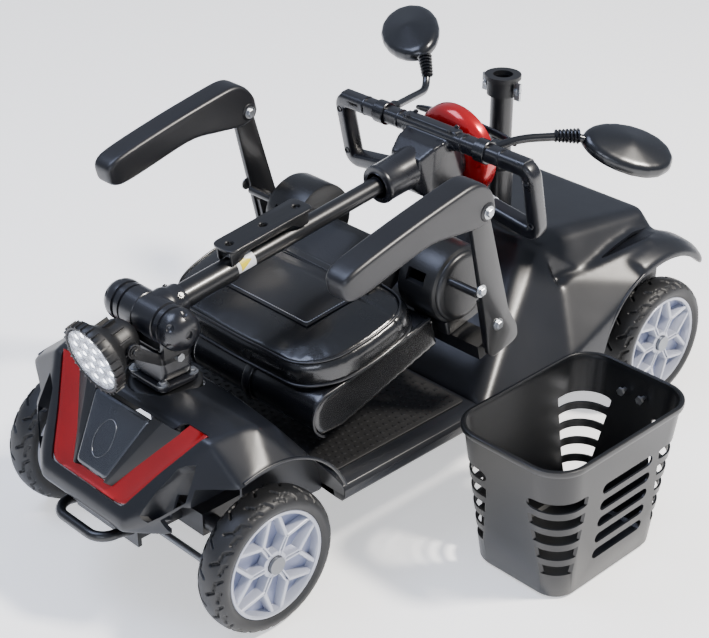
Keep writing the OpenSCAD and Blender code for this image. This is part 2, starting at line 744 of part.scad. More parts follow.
module throttle_lever() {
  placed() color("#202124") tiller_frame() union() {
    translate([0, console_y + 23, throttle_z]) rotate([-90, 0, 0])
      cylinder(h = throttle_y - console_y - 20, r = throttle_r);
    translate([0, throttle_y, throttle_z - 5]) linear_extrude(10) polygon([
      [-98, -15], [-92, -18], [0, -8], [92, -18], [98, -15], [98, -6], [92, -2], [0, 6], [-92, -2], [-98, -6]]);
  }
}

// ---- Mirrors ----
// Each mirror hangs on a bent stalk from a clamp on the handlebar; aim is [turn, lift, roll] of its housing.
clamp_x = 98;
module mirror_arm(side, bend, end) {
  start = [side * clamp_x, fold_y + (tiller_len + 5) * cos(stow_angle) - bar_z * sin(stow_angle),
    fold_z + (tiller_len + 5) * sin(stow_angle) + bar_z * cos(stow_angle)];
  union() {
    difference() {
      tiller_frame() cross_rod(side * clamp_x - 10, side * clamp_x + 10, tiller_len, bar_z, grip_r + 5);
      tiller_frame() cross_rod(side * clamp_x - 11, side * clamp_x + 11, tiller_len, bar_z, grip_r + run_gap);
    }
    difference() {
      rod(start, bend, 6);
      tiller_frame() cross_rod(side * clamp_x - 40, side * clamp_x + 40, tiller_len, bar_z, grip_r + 1);
    }
    translate(bend) sphere(r = 8);
    rod(bend, end, 6);
    translate(end) sphere(r = 9);
  }
}
module mirror_shape(r) {
  hull() for (p = mirror_points) translate([p[0], p[1], 0]) sphere(r = r, $fn = hull_fn);
}
module mirror_head(end, aim) {
  translate(end) rotate([0, -aim[1], aim[0]]) rotate([aim[2], 0, 0]) children();
}
module mirror_shell() {
  difference() {
    mirror_shape(mirror_r);
    translate([-20, -80, -30]) cube([200, 160, 24]);
    translate([0, 0, -6]) linear_extrude(4) glass_outline(0.3);
  }
}
module glass_outline(gap) {
  hull() for (p = [[30, 0], [50, 27], [56, -24], [128, 21], [122, -23]])
    translate(p) circle(r = 9 + gap, $fn = hull_fn);
}
module mirror_left() {
  placed() color("#24272c") {
    mirror_arm(1, left_bend, left_end);
    mirror_head(left_end, left_aim) mirror_shell();
  }
}
module mirror_glass_left() {
  placed() color("#9fb0bd") mirror_head(left_end, left_aim)
    translate([0, 0, -6]) linear_extrude(3) glass_outline(0);
}
module mirror_right() {
  placed() color("#24272c") {
    mirror_arm(-1, right_bend, right_end);
    mirror_head(right_end, right_aim) mirror_shell();
  }
}
module mirror_glass_right() {
  placed() color("#9fb0bd") mirror_head(right_end, right_aim)
    translate([0, 0, -6]) linear_extrude(3) glass_outline(0);
}

// ---- Seat ----
pan_t = 10;
socket_y = 158;
module seat_base() {
  socket_low = deck_z + mat_t + 0.4 - seat_z;
  placed() color("#222326") seat_frame() difference() {
    union() {
      translate([0, cushion_len / 2 + 4, -pan_t]) linear_extrude(pan_t - 0.2)
        rounded_plate(2 * cushion_x - 24, cushion_len - 10, 24);
      translate([0, socket_y - 8, -pan_t - 8]) cylinder(h = 10, r = 62);
      rotate([-seat_pitch, 0, 0]) translate([0, socket_y, socket_low]) cylinder(h = 74, r = 22);
      box([-arm_x + 12, hinge_y - 6, -pan_t - 4], [arm_x - 12, hinge_y + 28, 8]);
      box([-120, cushion_len - 4, -pan_t], [120, hinge_y - 4, -1]);
    }
    rotate([-seat_pitch, 0, 0]) translate([0, socket_y, -80]) cylinder(h = 74, r = 15);
  }
}
module seat_cushion() {
  placed() color("#232427") seat_frame() difference() {
    hull() both_sides() {
      translate([cushion_x - 26, 26, 0]) cylinder(h = 12, r = 26, $fn = hull_fn);
      translate([cushion_x - 26, 24, cushion_h - 22]) sphere(r = 22, $fn = hull_fn);
      translate([cushion_x - 26, cushion_len - 24, 0]) cylinder(h = cushion_h, r = 22, $fn = hull_fn);
    }
    translate([-300, -60, -40]) cube([600, 400, 40]);
  }
}
cover_x = 102;
cover_w = 74;
cover_r = 56;
cover_y = hinge_y + 25;
cover_z = 74;
module seat_side_covers() {
  placed() color("#1d1e20") seat_frame() both_sides() difference() {
    union() {
      cross_rod(cover_x, cover_x + cover_w - 6, cover_y, cover_z, cover_r);
      cross_rod(cover_x, cover_x + cover_w, cover_y, cover_z, cover_r - 7);
      box([cover_x, cover_y - 36, 8.2], [cover_x + cover_w - 6, cover_y + 36, cover_z]);
    }
    cross_rod(cover_x + wall, cover_x + cover_w - wall - 6, cover_y, cover_z, cover_r - wall - 3);
    box([cover_x - 1, cover_y - 90, -40], [cover_x + 90, cover_y + 90, 8.2]);
    cross_rod(cover_x - 5, cover_x + 90, hinge_y, hinge_z, 6);
  }
}
hinge_in = cover_x - 14;
arm_pivot_y = 261;
arm_pivot_z = 232;
module armrest_posts() {
  placed() color("#2a2b2e") seat_frame() both_sides() {
    difference() {
      union() {
        hull() {
          translate([arm_x - 4, arm_pivot_y, arm_pivot_z]) rotate([0, 90, 0])
            cylinder(h = 8, r = 18, $fn = hull_fn);
          translate([arm_x - 4, arm_pivot_y + 8, 40]) rotate([0, 90, 0])
            cylinder(h = 8, r = 24, $fn = hull_fn);
        }
        hull() for (y = [arm_pivot_y - 4, arm_pivot_y + 28])
          translate([arm_x - 4, y, 4]) rotate([0, 90, 0]) cylinder(h = 8, r = 14, $fn = hull_fn);
        translate([arm_x - 8, arm_pivot_y, 40]) cube([8, 26, 80], center = true);
        cross_rod(hinge_in, arm_x, hinge_y, hinge_z, 6);
      }
      cross_rod(arm_x - 30, arm_x + 30, arm_pivot_y, arm_pivot_z, 6 + run_gap);
    }
    for (p = [[hinge_y, 108], [hinge_y + 22, 37]])
      translate([arm_x + 4, p[0], p[1]]) rotate([0, 90, 0]) cylinder(h = 6, r = 6, $fn = 6);
  }
}
module armrest_pad(side) {
  pad_w = 40;
  color("#1b1c1f") seat_frame() mirror([side < 0 ? 1 : 0, 0, 0]) union() {
    difference() {
      hull() for (s = [-1, 1]) {
        translate([arm_x + s * (pad_w / 2 - 12), arm_pivot_y - arm_len + 14, 272]) sphere(r = 12, $fn = hull_fn);
        translate([arm_x + s * (pad_w / 2 - 12), arm_pivot_y - arm_len + 14, 253]) sphere(r = 12, $fn = hull_fn);
        translate([arm_x + s * (pad_w / 2 - 12), arm_pivot_y - 30, 271]) sphere(r = 12, $fn = hull_fn);
        translate([arm_x + s * (pad_w / 2 - 12), arm_pivot_y + 2, arm_pivot_z + 8]) sphere(r = 12, $fn = hull_fn);
        translate([arm_x + s * (pad_w / 2 - 12), arm_pivot_y - 60, arm_pivot_z + 6]) sphere(r = 12, $fn = hull_fn);
      }
      box([arm_x - 4.5, arm_pivot_y - 40, 180], [arm_x + 4.5, arm_pivot_y + 60, arm_pivot_z + 22]);
      cross_rod(arm_x - 40, arm_x + 40, arm_pivot_y, arm_pivot_z, 6);
    }
    cross_rod(arm_x - 22, arm_x + 22, arm_pivot_y, arm_pivot_z, 6);
    both_sides_of(arm_x) cross_rod(20, 24, arm_pivot_y, arm_pivot_z, 9);
  }
}
module both_sides_of(x) {
  translate([x, 0, 0]) both_sides() children();
}
module armrest_pad_left() { placed() armrest_pad(1); }
module armrest_pad_right() { placed() armrest_pad(-1); }
neck_x = cover_x - 2;
back_low = 58;
back_t = 44;
module backrest_pad() {
  placed() color("#1f2023") seat_frame() union() {
    hull() both_sides() {
      for (z = [back_low + 12, back_low + back_t - 12]) {
        translate([back_x - 60, 14, z]) sphere(r = 12, $fn = hull_fn);
        translate([back_x - 12, 48, z]) sphere(r = 12, $fn = hull_fn);
        translate([back_x - 12, hinge_y - 62, z]) sphere(r = 12, $fn = hull_fn);
      }
    }
    difference() {
      hull() {
        box([-neck_x, hinge_y - 70, back_low + 6], [neck_x, hinge_y - 60, back_low + back_t - 4]);
        cross_rod(-neck_x, neck_x, hinge_y, hinge_z, 13);
      }
      both_sides() cross_rod(hinge_in - 0.5, neck_x + 1, hinge_y, hinge_z, 6 + run_gap);
    }
  }
}

// ---- Basket ----
basket_taper = 17;
module basket_hull(inset, low, high) {
  hull() {
    translate([0, 0, low]) linear_extrude(1)
      rounded_plate(basket_w - 2 * basket_taper - 2 * inset, basket_l - 4 * basket_taper - 2 * inset, 34 - inset);
    translate([0, 0, high - 1]) linear_extrude(1)
      rounded_plate(basket_w - 2 * inset, basket_l - 2 * inset, 46 - inset);
  }
}
// A slot with round ends, cut along Y.
module slot(length, height, depth) {
  rotate([90, 0, 0]) translate([0, 0, -depth]) linear_extrude(2 * depth) union() {
    square([length - height, height], center = true);
    for (s = [-1, 1]) translate([s * (length - height) / 2, 0]) circle(d = height);
  }
}
module basket_place() {
  translate([basket_x + basket_w / 2, front_y + 399, 0]) children();
}
module basket() {
  placed() color("#1d1e20") basket_place() difference() {
    union() {
      basket_hull(4, 0, basket_h);
      translate([0, 0, basket_h - 18]) linear_extrude(18) rounded_plate(basket_w, basket_l, 46);
    }
    basket_hull(7, 3, basket_h + 1);
    for (k = [0 : 4]) {
      z = 52 + 29 * k;
      for (sx = [-1, 1], sy = [-1, 1])
        translate([sx * (basket_w / 2 - 36), sy * (basket_l / 2 - 44), z])
          rotate([0, 0, sx * sy * -45]) translate([0, sy * 34, 0]) slot(66, 11, 60);
      translate([basket_w / 2 - 20, 22, z]) rotate([0, 0, 90]) slot(60, 11, 30);
    }
    translate([0, basket_l / 2, basket_h - 34]) for (s = [-1, 1])
      translate([s * 16, 0, 0]) rotate([90, 0, 0]) cylinder(h = 60, r = 3.1, center = true);
  }
}
module basket_bolts() {
  placed() color(silver) basket_place() translate([0, basket_l / 2, basket_h - 34])
    for (s = [-1, 1]) translate([s * 16, 0, 0]) rotate([90, 0, 0]) union() {
      translate([0, 0, -8]) cylinder(h = 28, r = 3);
      translate([0, 0, 20]) cylinder(h = 4, r = 6, $fn = 6);
    }
}

front_frame();
rear_frame();
post_sleeve();
deck_pan();
floor_mat();
front_shroud();
nose_panel();
badge_panel();
column_cover();
front_bumper();
rear_shroud();
rear_lamps();
seat_post();
post_collar();
post_screws();
transaxle();
battery_pack();
freewheel_lever();
steering_column();
column_nuts();
tie_rod();
knuckle_left();
knuckle_right();
front_left_tyre();
front_left_rim();
front_right_tyre();
front_right_rim();
rear_left_tyre();
rear_left_rim();
rear_right_tyre();
rear_right_rim();
half_shaft_left();
half_shaft_right();
headlamp_yoke();
headlamp_body();
headlamp_bezel();
headlamp_lens();
pivot_housing();
tiller_tube();
basket_bracket();
tiller_head();
handle_loops();
console_cover();
console_panel();
speed_dial();
ignition_key();
throttle_lever();
mirror_left();
mirror_glass_left();
mirror_right();
mirror_glass_right();
seat_base();
seat_cushion();
seat_side_covers();
armrest_posts();
backrest_pad();
armrest_pad_left();
armrest_pad_right();
basket();
basket_bolts();
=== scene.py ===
import json
import math
import random
import bpy
import bmesh
import numpy as np
from mathutils import Matrix, Vector
from mathutils.bvhtree import BVHTree


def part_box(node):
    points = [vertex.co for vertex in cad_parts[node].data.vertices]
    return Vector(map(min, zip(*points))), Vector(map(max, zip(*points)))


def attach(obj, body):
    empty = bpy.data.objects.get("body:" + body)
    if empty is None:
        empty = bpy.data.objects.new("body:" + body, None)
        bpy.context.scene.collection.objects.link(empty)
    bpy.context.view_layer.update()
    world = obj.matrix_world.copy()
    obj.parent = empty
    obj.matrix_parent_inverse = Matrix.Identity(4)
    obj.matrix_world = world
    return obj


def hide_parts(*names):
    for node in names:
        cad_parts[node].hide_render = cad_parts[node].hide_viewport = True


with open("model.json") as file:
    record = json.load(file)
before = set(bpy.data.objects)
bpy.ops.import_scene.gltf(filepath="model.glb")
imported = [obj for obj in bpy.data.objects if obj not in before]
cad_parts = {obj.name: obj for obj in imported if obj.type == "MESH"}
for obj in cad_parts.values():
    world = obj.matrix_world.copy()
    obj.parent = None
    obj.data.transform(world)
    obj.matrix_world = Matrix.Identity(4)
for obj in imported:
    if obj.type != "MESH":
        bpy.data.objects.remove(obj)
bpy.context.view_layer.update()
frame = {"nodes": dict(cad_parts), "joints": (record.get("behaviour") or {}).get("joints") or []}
scene = bpy.context.scene
random.seed(7)

# where things are: millimetres from the scooter's centre line, mid wheelbase and the ground

def middle(node):
    low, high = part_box(node)
    return (low + high) / 2

frontAxle = middle("front_left_tyre")
rearAxle = middle("rear_left_tyre")
centre = Vector((middle("seat_post").x, (frontAxle.y + rearAxle.y) / 2, 0))
wheel = {
    "front": (frontAxle.y - centre.y) * 1000,
    "rear": (rearAxle.y - centre.y) * 1000,
    "height": frontAxle.z * 1000,
    "out": (frontAxle.x - centre.x) * 1000,
    "radius": (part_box("front_left_tyre")[1].z - frontAxle.z) * 1000,
    "width": (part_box("front_left_tyre")[1].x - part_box("front_left_tyre")[0].x) * 1000,
}

def at(x, y, z):
    return Vector((centre.x + x / 1000, centre.y + y / 1000, z / 1000))

def placement(origin, tilt):
    # a frame at origin (mm), tilted about X by tilt degrees; its own units are mm
    turn = Matrix.Rotation(math.radians(tilt), 4, "X")
    return Matrix.Translation(at(*origin)) @ turn @ Matrix.Scale(0.001, 4)

ground = placement((0, 0, 0), 0)
joints = {j["name"]: j for j in frame["joints"]}
foldAt = Vector(joints["tiller_fold"]["pos_m"]) - centre
tillerTilt = math.degrees(math.atan2(joints["speed_dial_turn"]["axis"][2],
                                     joints["speed_dial_turn"]["axis"][1]))
tiller = placement((0, foldAt.y * 1000, foldAt.z * 1000), tillerTilt)
seatTilt = 13
seatFrame = placement((0, -255, 200), seatTilt)
noseTilt = 52
noseFoot = (0, -523, 173)
nose = placement(noseFoot, noseTilt)
lampAt = Vector(joints["headlamp_tilt"]["pos_m"]) - centre

# materials

def linear(hexColour):
    values = [int(hexColour[i:i + 2], 16) / 255 for i in (1, 3, 5)]
    return [v / 12.92 if v <= 0.04045 else ((v + 0.055) / 1.055) ** 2.4 for v in values] + [1.0]

def addNode(tree, kind, values=None, links=None, **settings):
    node = tree.nodes.new(kind)
    for name, value in settings.items():
        setattr(node, name, value)
    for name, value in (values or {}).items():
        node.inputs[name].default_value = value
    for name, source in (links or {}).items():
        tree.links.new(source, node.inputs[name])
    return node

def newMaterial(name, colour, **shader):
    material = bpy.data.materials.new(name)
    material.use_nodes = True
    tree = material.node_tree
    surface = tree.nodes["Principled BSDF"]
    surface.inputs["Base Color"].default_value = linear(colour)
    for key, value in shader.items():
        surface.inputs[key.replace("_", " ")].default_value = value
    return material, tree, surface

def grain(tree, surface, sizeMm, depthMm, strength=1.0, detail=2.0, kind="ShaderNodeTexNoise"):
    # bump from a pattern whose repeats are sizeMm apart
    place = addNode(tree, "ShaderNodeTexCoord")
    pattern = addNode(tree, kind, {"Scale": 1000 / sizeMm}, {"Vector": place.outputs["Object"]})
    if kind == "ShaderNodeTexNoise":
        pattern.inputs["Detail"].default_value = detail
    height = pattern.outputs["Fac"] if kind == "ShaderNodeTexNoise" else pattern.outputs["Distance"]
    bump = addNode(tree, "ShaderNodeBump", {"Strength": strength, "Distance": depthMm / 1000},
                   {"Height": height})
    tree.links.new(bump.outputs["Normal"], surface.inputs["Normal"])
    return bump

def mottled(tree, surface, colour, other, sizeMm, amount=0.5):
    # slow change between two colours, as dust, handling and fading leave
    place = addNode(tree, "ShaderNodeTexCoord")
    cloud = addNode(tree, "ShaderNodeTexNoise", {"Scale": 1000 / sizeMm, "Detail": 4.0},
                    {"Vector": place.outputs["Object"]})
    ramp = addNode(tree, "ShaderNodeMapRange", {"From Min": 0.35, "From Max": 0.7, "To Max": amount},
                   {"Value": cloud.outputs["Fac"]})
    mix = addNode(tree, "ShaderNodeMix", None, {"Factor": ramp.outputs["Result"]}, data_type="RGBA")
    mix.inputs["A"].default_value = linear(colour)
    mix.inputs["B"].default_value = linear(other)
    tree.links.new(mix.outputs["Result"], surface.inputs["Base Color"])

def worn(tree, surface, low, high, sizeMm):
    # roughness that changes slowly between low and high
    place = addNode(tree, "ShaderNodeTexCoord")
    cloud = addNode(tree, "ShaderNodeTexNoise", {"Scale": 1000 / sizeMm, "Detail": 5.0},
                    {"Vector": place.outputs["Object"]})
    ramp = addNode(tree, "ShaderNodeMapRange", {"To Min": low, "To Max": high},
                   {"Value": cloud.outputs["Fac"]})
    tree.links.new(ramp.outputs["Result"], surface.inputs["Roughness"])

def mouldedPlastic(name, colour, other, rough, grainMm=1.2, depthMm=0.05, coat=0.0):
    # injection-moulded ABS: a spark-eroded mould leaves a fine even grain, so its shine is soft
    material, tree, surface = newMaterial(name, colour, Roughness=rough, IOR=1.53, Coat_Weight=coat)
    surface.inputs["Coat Roughness"].default_value = 0.25
    mottled(tree, surface, colour, other, 90)
    worn(tree, surface, rough - 0.05, rough + 0.07, 60)
    grain(tree, surface, grainMm, depthMm)
    return material

def paintedMetal(name, colour, other, rough, metallic=0.0, coat=0.3, peelMm=4.0, depthMm=0.03):
    # powder coat or spray: smooth, with a slight orange peel
    material, tree, surface = newMaterial(name, colour, Roughness=rough, Metallic=metallic,
                                          Coat_Weight=coat)
    surface.inputs["Coat Roughness"].default_value = 0.12
    mottled(tree, surface, colour, other, 70)
    worn(tree, surface, rough - 0.05, rough + 0.08, 45)
    grain(tree, surface, peelMm, depthMm)
    return material

def platedSteel(name, colour, rough):
    # zinc plate: a metal with fine scratches, a little clouded
    material, tree, surface = newMaterial(name, colour, Roughness=rough, Metallic=1.0)
    mottled(tree, surface, colour, "#8d8f92", 12)
    worn(tree, surface, rough - 0.06, rough + 0.14, 8)
    grain(tree, surface, 2.0, 0.02)
    return material

def seatVinyl(name, colour, other, rough):
    # PVC-coated cloth: embossed with a small hide grain under a glossy skin
    material, tree, surface = newMaterial(name, colour, Roughness=rough, IOR=1.5, Coat_Weight=0.5)
    surface.inputs["Coat Roughness"].default_value = 0.16
    mottled(tree, surface, colour, other, 60)
    worn(tree, surface, rough - 0.04, rough + 0.08, 50)
    grain(tree, surface, 2.2, 0.16, 0.55, kind="ShaderNodeTexVoronoi")
    return material

def softRubber(name, colour, other, rough, grainMm=1.5, depthMm=0.08):
    # carbon-black rubber: matt, with a dusty bloom
    material, tree, surface = newMaterial(name, colour, Roughness=rough, IOR=1.52)
    mottled(tree, surface, colour, other, 30, 0.7)
    worn(tree, surface, rough - 0.08, rough + 0.08, 25)
    grain(tree, surface, grainMm, depthMm)
    return material

def clearLens(name):
    material, tree, surface = newMaterial(name, "#f2f6ff", Roughness=0.04, IOR=1.49, Alpha=0.22)
    grain(tree, surface, 6.0, 0.1)
    return material

def glowing(name, colour, strength):
    material, tree, surface = newMaterial(name, colour, Roughness=0.2)
    surface.inputs["Emission Strength"].default_value = strength
    place = addNode(tree, "ShaderNodeTexCoord")
    cells = addNode(tree, "ShaderNodeTexNoise", {"Scale": 220.0}, {"Vector": place.outputs["Object"]})
    mix = addNode(tree, "ShaderNodeMix", None, {"Factor": cells.outputs["Fac"]}, data_type="RGBA")
    mix.inputs["A"].default_value = linear(colour)
    mix.inputs["B"].default_value = linear("#ffffff")
    tree.links.new(mix.outputs["Result"], surface.inputs["Emission Color"])
    return material

mats = {
    "bodyAbs": mouldedPlastic("satinBlackAbs", "#0f1116", "#171a21", 0.33),
    "darkAbs": mouldedPlastic("darkAbs", "#0c0d0f", "#131417", 0.45),
    "grainedAbs": mouldedPlastic("grainedBlackAbs", "#0e0f11", "#15161a", 0.34, 1.8, 0.22),
    "basketPp": mouldedPlastic("grainedPolypropylene", "#07080a", "#0c0d10", 0.32, 1.2, 0.09),
    "padPu": mouldedPlastic("polyurethaneSkin", "#101115", "#17181d", 0.36, 1.4, 0.05),
    "gripAbs": mouldedPlastic("glossierBlackAbs", "#121318", "#1a1c22", 0.27, 2.0, 0.03, 0.2),
    "mirrorAbs": mouldedPlastic("mirrorShellAbs", "#0d0f13", "#15181f", 0.24, 1.6, 0.03, 0.3),
    "redPaint": paintedMetal("redMetallicLacquer", "#a80009", "#cc0010", 0.2, 0.5, 1.0, 5.0, 0.02),
    "badgePaint": paintedMetal("silverGreyLacquer", "#34373d", "#454950", 0.24, 0.5, 0.6, 3.0, 0.02),
    "rimPaint": paintedMetal("silverWheelLacquer", "#a6aab8", "#b8bcc8", 0.28, 0.3, 0.6, 4.0, 0.03),
    # rimShade is the wheel lacquer made darker and bluer: painted shade for the recessed dish behind the
    # spokes, not a second paint
    "rimShade": paintedMetal("wheelLacquerPaintedShade", "#7c83a0", "#8a91ac", 0.35, 0.3, 0.5, 4.0, 0.03),
    "blackSteel": paintedMetal("blackPowderCoat", "#0b0c0f", "#121317", 0.34, 0.0, 0.25, 2.2, 0.05),
    "frameSteel": paintedMetal("greyBlackPowderCoat", "#1b1c1f", "#242629", 0.42, 0.0, 0.15, 2.2, 0.06),
    "zinc": platedSteel("zincPlatedSteel", "#b9bcc0", 0.28),
    "turned": platedSteel("turnedSteel", "#8c9096", 0.34),
    "castAlloy": platedSteel("castAluminium", "#85888c", 0.5),
    "vinyl": seatVinyl("glossyBlackVinyl", "#08090b", "#0e0f13", 0.24),
    "pocketVinyl": seatVinyl("pocketVinyl", "#0a0b0e", "#111218", 0.3),
    "tyreRubber": softRubber("treadRubber", "#101113", "#1a1b1e", 0.5),
    "matRubber": softRubber("matRubber", "#0b0b0c", "#141416", 0.6),
    "thread": softRubber("paleStitching", "#8f9299", "#a5a8ae", 0.6, 0.8, 0.1),
    "sticker": mouldedPlastic("whiteLabelFilm", "#d4d6d8", "#c3c6ca", 0.4, 3.0, 0.01),
    "warning": mouldedPlastic("yellowLabelInk", "#d8c400", "#c6b000", 0.4, 3.0, 0.01),
    "lens": clearLens("clearPolycarbonate"),
    "emitter": glowing("whiteEmitter", "#eef4ff", 9.0),
    "reflector": platedSteel("vacuumMetallised", "#d5d8dc", 0.12),
    "mirrorGlass": platedSteel("silveredGlass", "#dfe6ee", 0.04),
    "tailLens": mouldedPlastic("redLensAcrylic", "#7c0409", "#a00810", 0.15, 3.0, 0.02, 0.8),
    "yellowAbs": mouldedPlastic("yellowAbs", "#c8a020", "#b58c12", 0.35),
    "paleAbs": mouldedPlastic("paleGreyAbs", "#c5c7ca", "#b3b6ba", 0.4),
    "caseAbs": mouldedPlastic("batteryCaseAbs", "#23262a", "#2d3035", 0.5),
}
print("materials made:", len(mats))

# making meshes

def keep(obj, material, body, replaced=()):
    if material:
        obj.data.materials.clear()
        obj.data.materials.append(mats[material])
    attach(obj, body)
    if replaced:
        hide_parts(*replaced)
    return obj

def withMaterial(obj, material):
    obj.data.materials.clear()
    obj.data.materials.append(mats[material])
    return obj

def meshObject(name, verts, faces, place=None):
    mesh = bpy.data.meshes.new(name)
    mesh.from_pydata([tuple(v) for v in verts], [], faces)
    bm = bmesh.new()
    bm.from_mesh(mesh)
    bmesh.ops.remove_doubles(bm, verts=bm.verts, dist=1e-4)
    bmesh.ops.recalc_face_normals(bm, faces=bm.faces)
    bm.to_mesh(mesh)
    bm.free()
    obj = bpy.data.objects.new(name, mesh)
    scene.collection.objects.link(obj)
    if place is not None:
        mesh.transform(place)
    return obj

def evaluated(obj):
    bpy.context.view_layer.update()
    graph = bpy.context.evaluated_depsgraph_get()
    mesh = bpy.data.meshes.new_from_object(obj.evaluated_get(graph))
    old = obj.data
    obj.modifiers.clear()
    obj.data = mesh
    bpy.data.meshes.remove(old)
    return obj

def modified(obj, kind, **settings):
    modifier = obj.modifiers.new(kind.lower(), kind)
    for key, value in settings.items():
        setattr(modifier, key, value)
    return evaluated(obj)

def shade(obj, angle=40):
    for polygon in obj.data.polygons:
        polygon.use_smooth = True
    bm = bmesh.new()
    bm.from_mesh(obj.data)
    for edge in bm.edges:
        if len(edge.link_faces) == 2:
            edge.smooth = edge.calc_face_angle(0) < math.radians(angle)
    bm.to_mesh(obj.data)
    bm.free()
    return obj

def cut(obj, *cutters, operation="DIFFERENCE"):
    for cutter in cutters:
        obj = modified(obj, "BOOLEAN", object=cutter, operation=operation, solver="MANIFOLD")
        bpy.data.objects.remove(cutter)
    return obj

def joined(name, parts):
    # several meshes as one object; they may touch or overlap
    bm = bmesh.new()
    slots = []
    for part in parts:
        start = len(bm.faces)
        bm.from_mesh(part.data)
        bm.faces.ensure_lookup_table()
        material = part.data.materials[0] if part.data.materials else None
        if material not in slots:
            slots.append(material)
        for face in bm.faces[start:]:
            face.material_index = slots.index(material)
        bpy.data.objects.remove(part)
    mesh = bpy.data.meshes.new(name)
    bm.to_mesh(mesh)
    bm.free()
    obj = bpy.data.objects.new(name, mesh)
    scene.collection.objects.link(obj)
    for material in slots:
        if material:
            mesh.materials.append(material)
    return obj

def hullOf(name, points, place=ground, mirrored=True):
    both = list(points) + [(-p[0], p[1], p[2]) for p in points if mirrored and abs(p[0]) > 0.01]
    bm = bmesh.new()
    for p in both:
        bm.verts.new(p)
    result = bmesh.ops.convex_hull(bm, input=bm.verts)
    loose = {g for g in result["geom_interior"] + result["geom_unused"]
             if isinstance(g, bmesh.types.BMVert)}
    bmesh.ops.delete(bm, geom=list(loose), context="VERTS")
    mesh = bpy.data.meshes.new(name)
    bm.to_mesh(mesh)
    bm.free()
    mesh.transform(place)
    obj = bpy.data.objects.new(name, mesh)
    scene.collection.objects.link(obj)
    return obj

def softened(obj, voxelMm, rounds):
    # fuses overlapping closed pieces and rounds their edges
    obj = modified(obj, "REMESH", mode="VOXEL", voxel_size=voxelMm / 1000, use_smooth_shade=True)
    return modified(obj, "SMOOTH", factor=0.5, iterations=rounds)

def loft(name, rings, place=ground, closedRing=True, capped=True):
    # rings of equal length, joined by quads; caps are fans round each end ring's middle
    count = len(rings[0])
    verts = [p for ring in rings for p in ring]
    faces = []
    span = count if closedRing else count - 1
    for i in range(len(rings) - 1):
        for k in range(span):
            a, b = i * count + k, i * count + (k + 1) % count
            faces.append((a, b, b + count, a + count))
    if capped and closedRing:
        for i, ring in ((0, rings[0]), (len(rings) - 1, rings[-1])):
            verts.append(sum((Vector(p) for p in ring), Vector()) / count)
            for k in range(count):
                faces.append((i * count + k, i * count + (k + 1) % count, len(verts) - 1))
    return meshObject(name, verts, faces, place)

def lathe(name, profile, place, segments=64):
    # profile of (radius, height) turned about the place's Z
    rings = []
    for radius, height in profile:
        r = max(radius, 0.001)
        rings.append([(r * math.cos(2 * math.pi * k / segments), r * math.sin(2 * math.pi * k / segments),
                       height)
                      for k in range(segments)])
    return loft(name, rings, place)

def filleted(points, radius, steps=6):
    # a path with its inner corners rounded
    points = [Vector(p) for p in points]
    path = [points[0]]
    for before, corner, after in zip(points, points[1:], points[2:]):
        a, b = before - corner, after - corner
        reach = min(radius, a.length * 0.48, b.length * 0.48)
        start, end = corner + a.normalized() * reach, corner + b.normalized() * reach
        for k in range(steps + 1):
            t = k / steps
            path.append(start * (1 - t) ** 2 + corner * 2 * t * (1 - t) + end * t ** 2)
    return path + [points[-1]]

def sweep(name, path, section, place=ground, up=(0, 0, 1)):
    # section of (side, up) offsets carried along the path without twisting
    path = [Vector(p) for p in path]
    rings = []
    lift = Vector(up)
    for i, p in enumerate(path):
        ahead = (path[min(i + 1, len(path) - 1)] - path[max(i - 1, 0)]).normalized()
        side = ahead.cross(lift).normalized()
        lift = side.cross(ahead).normalized()
        rings.append([p + side * s + lift * u for s, u in section])
    return loft(name, rings, place)

def roundSection(radius, count=20):
    return [(radius * math.cos(2 * math.pi * k / count), radius * math.sin(2 * math.pi * k / count))
            for k in range(count)]

def boxSection(width, height, radius, steps=4):
    section = []
    for cx, cy, start in ((1, 1, 0), (-1, 1, 90), (-1, -1, 180), (1, -1, 270)):
        for k in range(steps + 1):
            angle = math.radians(start + 90 * k / steps)
            section.append((cx * (width / 2 - radius) + radius * math.cos(angle),
                            cy * (height / 2 - radius) + radius * math.sin(angle)))
    return section

def slab(name, outline, low, high, place, bevel=1.0, steps=2):
    # a flat plate with the outline given in the place's XY, from low to high, its edges rounded
    count = len(outline)
    verts = [(x, y, low) for x, y in outline] + [(x, y, high) for x, y in outline]
    faces = [tuple(range(count))[::-1], tuple(range(count, 2 * count))]
    faces += [(k, (k + 1) % count, count + (k + 1) % count, count + k) for k in range(count)]
    obj = meshObject(name, verts, faces, place)
    if bevel:
        obj = modified(obj, "BEVEL", width=bevel / 1000, segments=steps, limit_method="ANGLE",
                       angle_limit=math.radians(35))
    return shade(obj, 50)

def roundedOutline(points, radius, steps=6):
    # closed outline with rounded corners
    looped = [points[-1]] + list(points) + [points[0]]
    path = filleted([(x, y, 0) for x, y in looped], radius, steps)[1:-1]
    return [(p.x, p.y) for p in path]

def drum(name, x0, x1, y, z, radius, place=ground, segments=96):
    # a cylinder along X
    turn = place @ Matrix.Translation((x0, y, z)) @ Matrix.Rotation(math.pi / 2, 4, "Y")
    return lathe(name, [(0, 0), (radius, 0), (radius, x1 - x0), (0, x1 - x0)], turn, segments)

def block(name, low, high, place=ground):
    xs, ys, zs = zip(low, high)
    return hullOf(name, [(x, y, z) for x in xs for y in ys for z in zs], place, mirrored=False)

def bolt(name, where, direction, radius, height=5, sides=6):
    # a hexagon head on a washer, looking along direction
    turn = Vector(direction).to_track_quat("Z", "Y").to_matrix().to_4x4()
    place = ground @ Matrix.Translation(where) @ turn
    washer = lathe(name + "Washer", [(0, 0), (radius * 1.5, 0), (radius * 1.5, 1.2), (0, 1.2)], place, 32)
    head = lathe(name + "Head", [(0, 1), (radius, 1), (radius, height), (radius * 0.86, height + 0.8),
                                 (0, height + 0.8)], place, sides)
    return joined(name, [washer, head])

